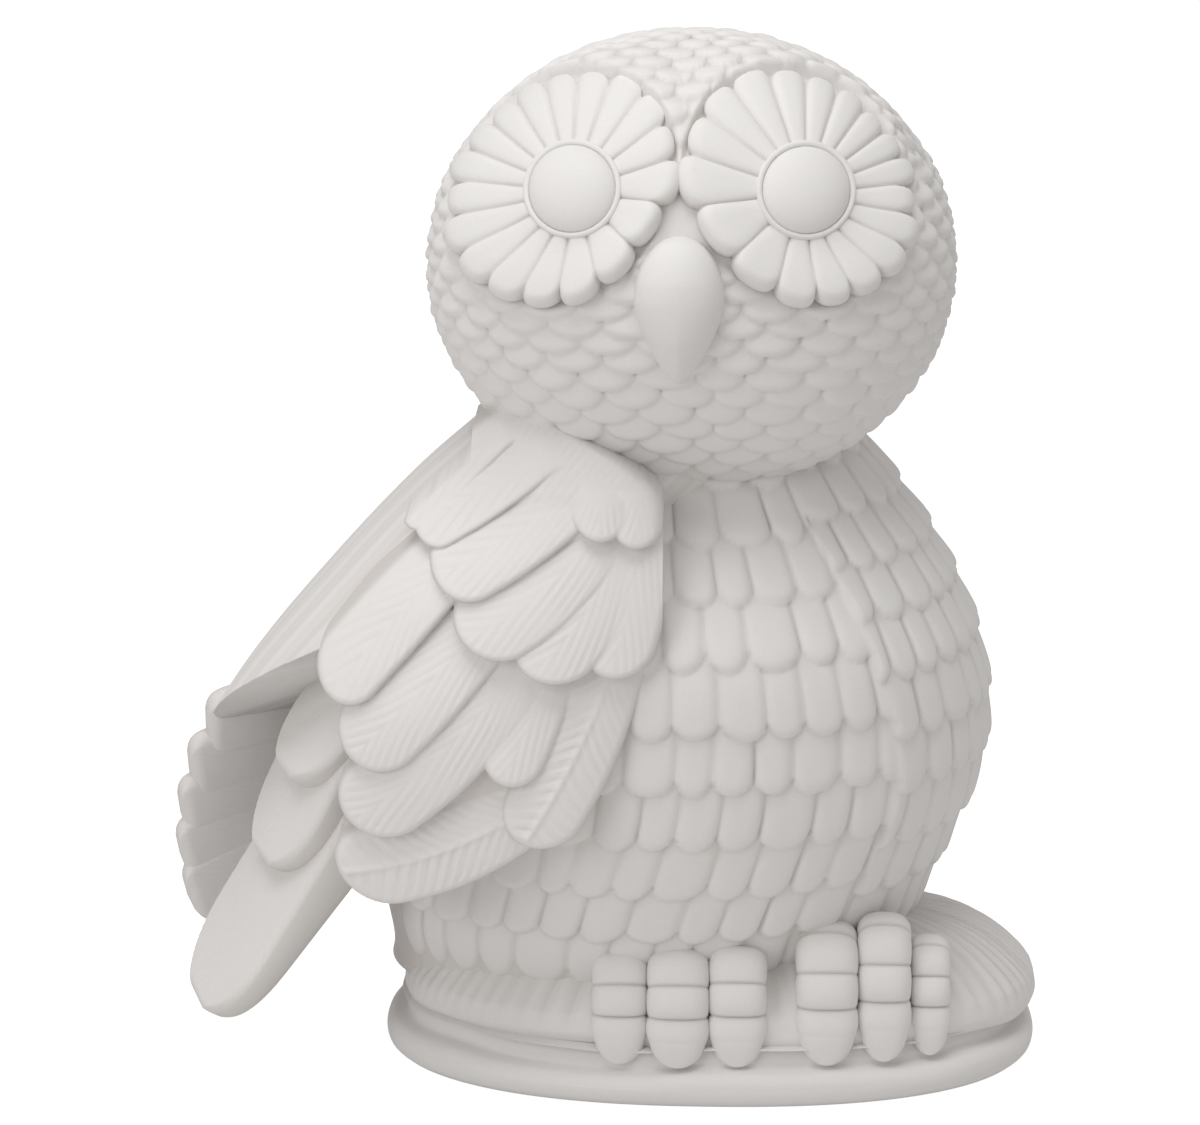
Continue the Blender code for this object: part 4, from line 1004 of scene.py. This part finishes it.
def core_layer(x, height):
    """The wing's body behind its feathers, painted evenly in shade."""
    local_x, local_h = x - CORE_HUB[0], height - CORE_HUB[1]
    along = local_x * CORE_WAY[0] + local_h * CORE_WAY[1]
    aside = local_x * CORE_WAY[1] - local_h * CORE_WAY[0]
    past = np.maximum(np.maximum(along - CORE_LENGTH + CORE_HALF, -along), 0)
    outside = np.maximum(np.hypot(aside, past) - CORE_HALF, x + 13 * MM)
    off = (-1.6 + 1.0 * dome(1 - np.clip(-outside / (4 * MM), 0, 1))) * MM
    # Painted shade: the sunk body is darkened evenly
    return np.where(outside < 0, off, SUNK), outside, np.full(len(x), 0.6)


def wing_layers(flat, side):
    """Joins all layers of a wing at places on its face: how far out, how far outside, painted shade."""
    x, height = flat[:, 0], flat[:, 1]
    layers = [core_layer(x, height)]
    for number, feather in enumerate(WING_FEATHERS.values()):
        layers.append(feather_layer(x, height, feather, number))
    layers.append(shoulder_layer(x, height, side))
    off, outside, painted_shade = layers[0]
    soft = 0.35 * MM
    for layer_off, layer_outside, layer_painted_shade in layers[1:]:
        over = ease((layer_off - off) / soft * 0.5 + 0.5)
        joined = np.maximum(off, layer_off)
        joined = joined + np.clip(soft - np.abs(layer_off - off), 0, None) ** 2 / (4 * soft)
        # The painted shade of the higher layer shows
        painted_shade = painted_shade * (1 - over) + layer_painted_shade * over
        off, outside = joined, np.minimum(outside, layer_outside)
    ahead = x - wing_front(height)
    lip = dome(1 - np.clip(-ahead / (2.2 * MM), 0, 1))
    off = off - 2.4 * MM * (1 - lip) * ease((height - 103 * MM) / (6 * MM))
    outside = np.maximum(outside, ahead)
    middle, reach = read_sections(MANTLE_SECTIONS, height, (1, 3))
    behind = middle - (0.7 if side > 0 else 0.95) * reach - 1.6 * np.maximum(100 * MM - height, 0) - x
    outside = np.maximum(outside, behind)
    if side > 0:
        outside = np.maximum(outside, height - 117 * MM)
    return off, outside, painted_shade


def wing_back(height):
    """How far the wing's back lies behind its face."""
    return WING_BACK + WING_BACK_GAIN * float(ease((height - 74 * MM) / (26 * MM)))


def wing_sheet(name, side):
    """A carved wing: a fine grid cut along the feathers' outline, its edge turned in to its back."""
    low, high = WING_FIELD
    cell = WING_CELLS[side]
    columns, rows = ((high - low) / cell).astype(int)
    mesh_data = bmesh.new()
    bmesh.ops.create_grid(mesh_data, x_segments=int(columns), y_segments=int(rows), size=0.5)

    def places():
        flat = np.array([vertex.co[:2] for vertex in mesh_data.verts])
        return low + (flat + 0.5) * (high - low)

    flat = places()
    outside = wing_layers(flat, side)[1]
    doomed = [vertex for vertex, far in zip(mesh_data.verts, outside) if far > cell]
    bmesh.ops.delete(mesh_data, geom=doomed, context="VERTS")
    flat = places()
    outside = wing_layers(flat, side)[1]
    step = 0.05 * MM
    slope = np.stack([
        wing_layers(flat + shift, side)[1] - wing_layers(flat - shift, side)[1]
        for shift in np.eye(2) * step], axis=1)
    slope = slope / np.maximum(np.linalg.norm(slope, axis=1, keepdims=True), 1e-12)
    margin = 0.04 * MM
    flat = flat - slope * np.maximum(outside + margin, 0)[:, None] * (outside > -margin)[:, None]
    off, _, painted_shade = wing_layers(flat, side)
    x, height = flat[:, 0], flat[:, 1]
    reach = wing_face(x, height) + np.maximum(off, WING_DEEPEST)
    points = np.stack([x, side * reach + wing_shift(side), DECK + height], axis=1)
    for vertex, point in zip(mesh_data.verts, points):
        vertex.co = point
    # Painted shade mask, stored on each vertex
    layer = mesh_data.verts.layers.float.new("painted_shade")
    for vertex, value in zip(mesh_data.verts, np.clip(painted_shade, 0, 1)):
        vertex[layer] = value
    turned = bmesh.ops.extrude_edge_only(mesh_data, edges=open_edges(mesh_data))["geom"]
    inner = [part for part in turned if isinstance(part, bmesh.types.BMVert)]
    for vertex in inner:
        vertex.co.y -= side * wing_back(vertex.co.z - DECK)
    for face in mesh_data.faces:
        face.smooth = True
    rim = open_edges(mesh_data)
    for edge in rim:
        edge.smooth = False
    bmesh.ops.holes_fill(mesh_data, edges=rim, sides=0)
    bmesh.ops.recalc_face_normals(mesh_data, faces=mesh_data.faces)
    return linked(name, mesh_of(name, mesh_data))


def feather_section(turn, level, length, half, tip_power, root_width):
    """Where a point of a feather lies: along, across, its rise (0 to 1) and whether it is on top."""
    share = (turn + math.pi) / TAU
    below = 0.22
    top = share > below
    across = np.where(top, 1 - 2 * (share - below) / (1 - below), -1 + 2 * share / below)
    straight = 1 - 1.05 * half / length
    beyond = np.clip((level - straight) / (1 - straight), 0, 1)
    outline = dome(beyond, tip_power) * dome(1 - np.clip(level / 0.06, 0, 1))
    root = root_width + (1 - root_width) * ease(level / 0.65)
    wide = half * root * outline
    inward = np.minimum(wide * (1 - np.abs(across)), (1 - level) * length * 0.9)
    rise = dome(1 - np.clip(inward / FEATHER_RIM, 0, 1))
    return level * length, wide * across, rise, top


def feather_relief(along, across, half, rise, comb):
    """Pillow and combed barbs of a feather's outer face; also the painted shade in its lines."""
    plumage = settings("owl_plumage")
    angle = math.radians(24)
    barb = (np.abs(across) * math.cos(angle) - along * math.sin(angle)) / plumage.barb_pitch
    uneven = wobble(4.0, along * 150, across * 420)
    lines = np.sin(TAU * (barb + 0.22 * uneven))
    lines = lines * (0.75 + 0.35 * wobble(7.0, barb * 1.9, along * 90)) * 0.75
    inner = ease((rise - 0.55) / 0.4)
    pillow = 0.55 * MM * (1 - (across / half) ** 2)
    height = pillow + comb * plumage.barb_depth * lines * inner
    # Painted shade: darker in the combed lines away from the rim
    return height, comb * (0.30 - 0.30 * lines) * inner


def feather_piece(
        name, root, tip, outward, half, thick, under, density, tip_power=2.1, root_width=0.85,
        comb=1.0):
    """Models one feather between two points, thick above its middle and under below it."""
    root, tip, outward = Vector(root), Vector(tip), Vector(outward)
    along = (tip - root).normalized()
    across = along.cross(outward).normalized()
    lift = across.cross(along).normalized()
    if across.z > 0:
        across = -across
    length = (tip - root).length

    def shape(turn, level):
        far, aside, rise, top = feather_section(turn, level, length, half, tip_power, root_width)
        detail, painted_shade = feather_relief(far, aside, half, rise, comb)
        off = np.where(top, thick * rise + detail * rise, -under * rise * (1 - 0.75 * level))
        points = np.array(root) + np.outer(far, along) + np.outer(aside, across)
        points = points + np.outer(off, lift)
        # Painted shade: darker towards the rounded rim, and an even shade on the underside
        return points, np.where(top, painted_shade + 0.8 * (1 - rise), 0.5)

    return carve(name, ball(*density), shape)


# The far wing's steps, measured from the plinth's top: tip of the first, from one to the next, run to
# the root and how much it fans from one to the next; how much the tips draw in either side of the
# longest, and which that is
FAR_STEPS = 5
FAR_STEP_TIP = np.array((-110.4, 10, 51)) * MM
FAR_STEP_NEXT = np.array((0, 1.5, -9.7)) * MM
FAR_STEP_RUN = np.array((42, 20, 6)) * MM
FAR_STEP_FAN = np.array((0, 0, 2.5)) * MM
FAR_STEP_SWELL, FAR_STEP_LONGEST = 0.85 * MM, 2.8
# The hand that carries them
FAR_HAND_ROOT = np.array((-50, 46, 62)) * MM
FAR_HAND_TIP = np.array((-99, 31, 20)) * MM


class OWL_OT_wings(bpy.types.Operator):
    """Carve both folded wings in overlapping feathers, and model the far wing's stepped primaries"""
    bl_idname = "owl.wings"
    bl_label = "Wings"

    def execute(self, context):
        material = bisque("bisque_wing", streaks=0.03)
        for name, side in (("wing_right", -1), ("wing_left", 1)):
            settle(wing_sheet("carved_" + name, side), "bisque_plumage", material, name)
        deck = np.array((0, 0, DECK))
        for order in range(FAR_STEPS):
            swell = np.array((FAR_STEP_SWELL * (order - FAR_STEP_LONGEST) ** 2, 0, 0))
            tip = deck + FAR_STEP_TIP + order * FAR_STEP_NEXT + swell
            root = tip + FAR_STEP_RUN + order * FAR_STEP_FAN
            piece = feather_piece(
                f"wing_left_step_{order}", root, tip, (-0.25, -0.92, -0.30), half=8 * MM,
                thick=2.0 * MM, under=8 * MM, density=(60, 90), tip_power=5.5, root_width=1.0,
                comb=0.2)
            settle(piece, "bisque_plumage", material, "wing_left")
        core = feather_piece(
            "wing_left_hand", FAR_HAND_ROOT + deck, FAR_HAND_TIP + deck, (-0.4, -1, 0), half=22 * MM,
            thick=3 * MM, under=6 * MM, density=(60, 90))
        settle(core, "bisque_plumage", material, "wing_left")
        return {"FINISHED"}


# The crease under the mantle: its near and its far end above the plinth
CREASE_NEAR = np.array((-74.5, -25, 78.5)) * MM
CREASE_FAR = np.array((-94, 8, 55)) * MM


class OWL_OT_mantle(bpy.types.Operator):
    """Carve the smooth mantle down to its crease"""
    bl_idname = "owl.mantle"
    bl_label = "Mantle"

    def execute(self, context):
        under = np.cross(CREASE_FAR - CREASE_NEAR, (1, 0, 0.3))

        def shape(turn, level):
            share = np.clip((level - MANTLE_CAP) / (1 - 2 * MANTLE_CAP), 0, 1)
            height = 40 * MM + 77 * MM * share
            middle_x, middle_y, half_x, half_y = read_sections(MANTLE_SECTIONS, height)
            strand = turn * 26 + 1.2 * wobble(5.0, turn * 9, height * 60)
            lines = np.sin(strand) * 0.6 + 0.4 * np.sin(strand * 2.3 + 1)
            deep = 0.10 * MM * lines
            flat_x, flat_y = oval(turn, half_x + deep, half_y + deep, MANTLE_FULLNESS)
            shrink = np.clip(np.minimum(level, 1 - level) / MANTLE_CAP, 0, 1)
            x, y = middle_x + flat_x * shrink, middle_y + flat_y * shrink
            # Painted shade in the mantle's grooved strands
            return np.stack([x, y, DECK + height], axis=1), 0.3 - 0.3 * lines

        piece = carve("carved_mantle", ball(360, 160), shape)
        mesh_data = bmesh.new()
        mesh_data.from_mesh(piece.data)
        bmesh.ops.bisect_plane(
            mesh_data, geom=[*mesh_data.verts, *mesh_data.edges, *mesh_data.faces],
            plane_co=CREASE_NEAR + np.array((0, 0, DECK)), plane_no=under, clear_outer=True)
        bmesh.ops.holes_fill(mesh_data, edges=open_edges(mesh_data), sides=0)
        mesh_data.to_mesh(piece.data)
        mesh_data.free()
        material = bisque("bisque_mantle", streaks=0.06, stretch=(1, 1, 0.2))
        settle(piece, "bisque_body", material, "mantle")
        return {"FINISHED"}


# Root, tip and half width of the tail's lobes, in millimetres
TAIL_LOBES = (
    ((-72.3, -11.8, 60.3), (-102, -17, 11.5), 19),
    ((-70.3, -9.8, 76.8), (-88.5, -15, 41), 18),
    ((-62, -8, 88), (-84, -15, 59), 17),
)


class OWL_OT_tail(bpy.types.Operator):
    """Model the three lobes of the tail"""
    bl_idname = "owl.tail"
    bl_label = "Tail"

    def execute(self, context):
        material = bisque("bisque_tail", streaks=0.05)
        for order, (root, tip, half) in enumerate(TAIL_LOBES):
            piece = feather_piece(
                f"tail_lobe_{order}", Vector(root) * MM, Vector(tip) * MM, (-0.71, -0.30, 0.63),
                half=half * MM, thick=2.4 * MM, under=9 * MM, density=(120, 140), tip_power=2.7,
                root_width=1.0, comb=0.7)
            settle(piece, "bisque_plumage", material, "tail")
        return {"FINISHED"}


# ---------------------------------------------------------------------------- base and feet

OVAL_FULLNESS = 2.3
# The share of the skirt's ball that makes its underside
SKIRT_UNDERSIDE = 0.12
# Up the plinth's edge, from the middle of its underside to the middle of its top: the share of its
# ball, the height and the inset; an inset of 60 mm is the middle
PLINTH_STOPS = np.array((0, 0.18, 0.20, 0.28, 0.46, 0.54, 0.60, 0.76, 0.84, 0.92, 1.0))
PLINTH_HEIGHTS = np.array((0, 0, 0.2, 1.6, 4.6, 6.3, 7.0, 8.6, 10.2, 11.0, 11.0)) * MM
PLINTH_INSETS = np.array((60, 3.0, 1.6, 0.2, 0.1, 1.5, 4.1, 4.9, 5.8, 7.5, 60)) * MM
PLINTH_WAVE = 0.75 * MM


def skirt_edge(turn, inset):
    """The skirt's outline, drawn in by inset."""
    low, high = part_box("ground_tuft")
    half_x, half_y = (high.x - low.x) / 2, (high.y - low.y) / 2
    flat_x, flat_y = oval(turn, half_x - inset, half_y - inset, OVAL_FULLNESS)
    return flat_x + (low.x + high.x) / 2, flat_y + (low.y + high.y) / 2


class OWL_OT_ground(bpy.types.Operator):
    """Model the skirt of ground feathers and the plinth with its waved ledges"""
    bl_idname = "owl.ground"
    bl_label = "Ground"

    def execute(self, context):
        low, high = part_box("ground_tuft")
        rise = high.z - low.z

        def skirt(turn, level):
            share = np.clip((level - SKIRT_UNDERSIDE) / (1 - SKIRT_UNDERSIDE), 0, 1)
            quarter = share * math.pi / 2
            inset = (1 - np.cos(quarter)) * (high.y - low.y) / 2 * 0.96
            inset = inset + 0.9 * MM * ease(1 - share / 0.06)
            height = rise * (0.12 + 0.90 * np.sin(quarter) ** 0.9) * (1 + 0.24 * ease(share * 1.6))
            lean = turn + 0.10 * np.sin(3 * turn + 1)
            flutes = np.abs(np.sin(lean * 34 + 0.8 * np.sin(lean * 5))) ** 0.7
            fine = np.abs(np.sin(lean * 91 + 1.5 * np.sin(lean * 7)))
            carve_in = (0.55 * (1 - flutes) + 0.2 * (1 - fine)) * MM
            carve_in = carve_in * ease(share * 5) * ease((1 - share) * 3)
            flat_x, flat_y = skirt_edge(turn, inset + carve_in - 1.1 * MM * ease(1 - share / 0.4))
            below = np.clip(level / SKIRT_UNDERSIDE, 0, 1)
            hem = (3.0 + 0.7 * wobble(3.0, turn * 7, turn * 4)) * MM
            underside = level < SKIRT_UNDERSIDE
            height = np.where(underside, 0.12 * rise * ease(below) - hem, height - carve_in)
            height = height - hem * ease(1 - share / 0.14) * ~underside
            points = np.stack([flat_x * below, flat_y * below, low.z + height], axis=1)
            # Painted shade: darker in the carved flutes
            return points, carve_in / (0.7 * MM) * 0.5

        settle(
            carve("ground_skirt", ball(480, 120), skirt), "bisque_base",
            bisque("bisque_ground", tone=0.99, streaks=0.06, stretch=(1, 1, 1)), "ground_tuft")

        half_x, half_y = (PLINTH_HIGH.x - PLINTH_LOW.x) / 2, (PLINTH_HIGH.y - PLINTH_LOW.y) / 2

        def plinth(turn, level):
            wave = PLINTH_WAVE * wobble(2.0, turn * 6, turn * 3)
            height = curve_through(PLINTH_STOPS, PLINTH_HEIGHTS, level)
            inset = curve_through(PLINTH_STOPS, PLINTH_INSETS, level)
            height = height + wave * band(level, 0.46, 0.9, 0.05)
            share = np.clip(1 - inset / PLINTH_INSETS[0], 0, 1)
            keep = inset < 20 * MM
            depth = half_y - np.minimum(inset, 40 * MM)
            flat_x, flat_y = oval(turn, half_x - inset, depth, OVAL_FULLNESS)
            flat_x = np.where(keep, flat_x, half_x * np.cos(turn) * share)
            flat_y = np.where(keep, flat_y, half_y * np.sin(turn) * share)
            return np.stack([flat_x, flat_y, np.maximum(height, 0)], axis=1), np.zeros(len(turn))

        settle(
            carve("carved_plinth", ball(360, 100), plinth), "bisque_base",
            bisque("bisque_plinth", tone=0.99), "base_plinth")
        return {"FINISHED"}


# Along a toe: the stops of its path, and how far back and how far down they lie, as shares of its
# reach and its drop.  The first four stops are its joints, and the claw starts at the last of them.
TOE_STOPS = np.array((0.0, 0.25, 0.4375, 0.625, 0.80, 1.0))
TOE_BACK = np.array((1.0, 0.45, 0.12, 0.0, 0.0, 0.07))
TOE_DOWN = np.array((0.06, 0.0, 0.2, 0.48, 0.74, 1.0))
TOE_JOINTS = TOE_STOPS[:4]
TOE_REACH = 10 * MM
TOE_DEPTH = 0.85


class OWL_OT_feet(bpy.types.Operator):
    """Model the six toes with their knuckles and blunt claws"""
    bl_idname = "owl.feet"
    bl_label = "Feet"

    def execute(self, context):
        material = bisque("bisque_feet")
        for foot in ("right", "left"):
            for name in ("outer", "middle", "inner"):
                node = f"{foot}_foot_{name}_toe"
                piece = carve(node + "_carved", ball(84, 160), toe_shape(*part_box(node)))
                settle(piece, "bisque_smooth", material, node)
        return {"FINISHED"}


def toe_shape(low, high):
    """A toe bent over the plinth's edge: three knuckles and a claw that hangs down from the last."""
    middle, radius = (low.x + high.x) / 2, (high.x - low.x) / 2 * 1.06
    front, crown = low.y + radius * TOE_DEPTH, high.z - radius * TOE_DEPTH
    path = np.stack([
        TOE_STOPS, front + TOE_BACK * TOE_REACH, crown - TOE_DOWN * (crown - low.z - 0.6 * MM)], axis=1)

    def shape(turn, level):
        place = read_sections(path, level)
        ahead = read_sections(path, np.minimum(level + 0.03, 1))
        behind = read_sections(path, np.maximum(level - 0.03, 0))
        along_y, along_z = ahead[0] - behind[0], ahead[1] - behind[1]
        length = np.hypot(along_y, along_z)
        along_y, along_z = along_y / length, along_z / length
        joint = np.clip(np.searchsorted(TOE_JOINTS, level, side="right") - 1, 0, 3)
        ends = np.append(TOE_JOINTS, 1.0)
        local = np.clip((level - ends[joint]) / (ends[joint + 1] - ends[joint]), 0, 1)
        swell = np.sin(math.pi * local) ** 0.55
        claw = joint == 3
        nail = ease(local / 0.07)
        wide = radius * (0.94 + 0.08 * np.sin(math.pi * np.minimum(local * 2, 1)))
        wide = wide * np.sqrt(np.clip(1 - local ** 3.6, 0, 1))
        wide = np.where(claw, wide * (0.93 + 0.07 * nail), radius - 0.35 * MM * (1 - swell))
        thick = np.where(
            claw, wide * TOE_DEPTH - 0.9 * MM + 0.5 * MM * nail,
            radius * TOE_DEPTH - 1.25 * MM * (1 - swell))
        thick = np.maximum(thick, 0)
        start = dome(1 - np.clip(level / 0.05, 0, 1))
        flat_x, flat_o = oval(turn, wide * start, thick * start, 2.6)
        flush = np.maximum(radius * TOE_DEPTH - 0.5 * MM - thick, 0)
        ahead_y = claw * (flush + 0.6 * MM * ease(local * 2))
        y, z = place[0] - ahead_y + along_z * flat_o, place[1] - along_y * flat_o
        points = np.stack([middle + flat_x, y, z], axis=1)
        near_joint = np.abs(level[:, None] - TOE_JOINTS[1:]).min(axis=1)
        # Painted shade: darker in the knuckle creases
        return points, 0.8 * ease(1 - near_joint / 0.02)

    return shape


# ---------------------------------------------------------------------------- stage

FLOOR_HEIGHT = -0.2 * MM
CAMERA_AIM = Vector((-0.0225, 0, 0.100))
CAMERA_AZIMUTH, CAMERA_ELEVATION = math.radians(2), math.radians(15)
CAMERA_DISTANCE = 0.9
# Each soft light's name, place and power in watts; all are discs of one size with one aim
LIGHTS = (("overhead", (-0.10, -0.20, 0.95), 3.5), ("front", (-0.75, -0.9, 0.60), 2.6))
LIGHT_AIM, LIGHT_SIZE = Vector((0, 0, 0.1)), 0.7


class OWL_OT_stage(bpy.types.Operator):
    """Set the pale floor, the soft studio lights and the camera"""
    bl_idname = "owl.stage"
    bl_label = "Stage"

    def execute(self, context):
        mesh_data = bmesh.new()
        bmesh.ops.create_grid(mesh_data, x_segments=1, y_segments=1, size=8)
        floor = linked("floor", mesh_of("floor", mesh_data))
        material = bpy.data.materials.new("pale_floor")
        material.use_nodes = True
        tree = material.node_tree
        seen = add_node(tree, "ShaderNodeLightPath", {})
        glow = add_node(tree, "ShaderNodeMapRange", {
            "Value": seen.outputs["Is Camera Ray"], "To Min": 0.22, "To Max": 0.85})
        feed(tree, tree.nodes["Principled BSDF"], {
            "Base Color": (0.5, 0.49, 0.48, 1), "Roughness": 0.9, "Emission Color": (1, 1, 1, 1),
            "Emission Strength": glow.outputs["Result"]})
        floor.data.materials.append(material)
        floor.location.z = FLOOR_HEIGHT
        world = bpy.data.worlds.new("studio")
        world.use_nodes = True
        feed(world.node_tree, world.node_tree.nodes["Background"], {
            "Color": (1.0, 0.985, 0.975, 1), "Strength": 0.50})
        context.scene.world = world
        for name, place, energy in LIGHTS:
            self.light(name, place, energy)
        camera = bpy.data.cameras.new("camera")
        camera.lens, camera.sensor_width = 135, 36
        camera.clip_start = 0.01
        holder = linked("camera", camera)
        back = Vector((
            math.sin(CAMERA_AZIMUTH) * math.cos(CAMERA_ELEVATION),
            -math.cos(CAMERA_AZIMUTH) * math.cos(CAMERA_ELEVATION),
            math.sin(CAMERA_ELEVATION)))
        holder.location = CAMERA_AIM + back * CAMERA_DISTANCE
        holder.rotation_euler = (-back).to_track_quat("-Z", "Y").to_euler()
        context.scene.camera = holder
        context.scene.view_settings.view_transform = "Standard"
        return {"FINISHED"}

    @staticmethod
    def light(name, place, energy):
        lamp = bpy.data.lights.new(name, "AREA")
        lamp.shape, lamp.size, lamp.energy = "DISK", LIGHT_SIZE, energy
        holder = linked(name, lamp)
        holder.location = place
        holder.rotation_euler = (Vector(place) - LIGHT_AIM).to_track_quat("Z", "Y").to_euler()


OPERATORS = (
    OWL_OT_head, OWL_OT_rosettes, OWL_OT_eyes, OWL_OT_beak, OWL_OT_torso, OWL_OT_wings, OWL_OT_mantle,
    OWL_OT_tail, OWL_OT_ground, OWL_OT_feet, OWL_OT_stage,
)


class OWL_PT_panel(bpy.types.Panel):
    """Lists the owl's sizes and the operators that model it"""
    bl_label = "Owl"
    bl_idname = "OWL_PT_panel"
    bl_space_type = "VIEW_3D"
    bl_region_type = "UI"
    bl_category = "Owl"

    def draw(self, context):
        for name, kind in SETTINGS.items():
            box = self.layout.box()
            for title in kind.__annotations__:
                box.prop(getattr(context.scene, name), title)
        for operator in OPERATORS:
            self.layout.operator(operator.bl_idname)


def register():
    for kind in (*SETTINGS.values(), *OPERATORS, OWL_PT_panel):
        bpy.utils.register_class(kind)
    for name, kind in SETTINGS.items():
        setattr(bpy.types.Scene, name, PointerProperty(type=kind))


def unregister():
    for name in SETTINGS:
        delattr(bpy.types.Scene, name)
    for kind in reversed((*SETTINGS.values(), *OPERATORS, OWL_PT_panel)):
        bpy.utils.unregister_class(kind)


def main():
    register()
    for operator in OPERATORS:
        group, action = operator.bl_idname.split(".")
        getattr(getattr(bpy.ops, group), action)()


if __name__ == "__main__":
    main()
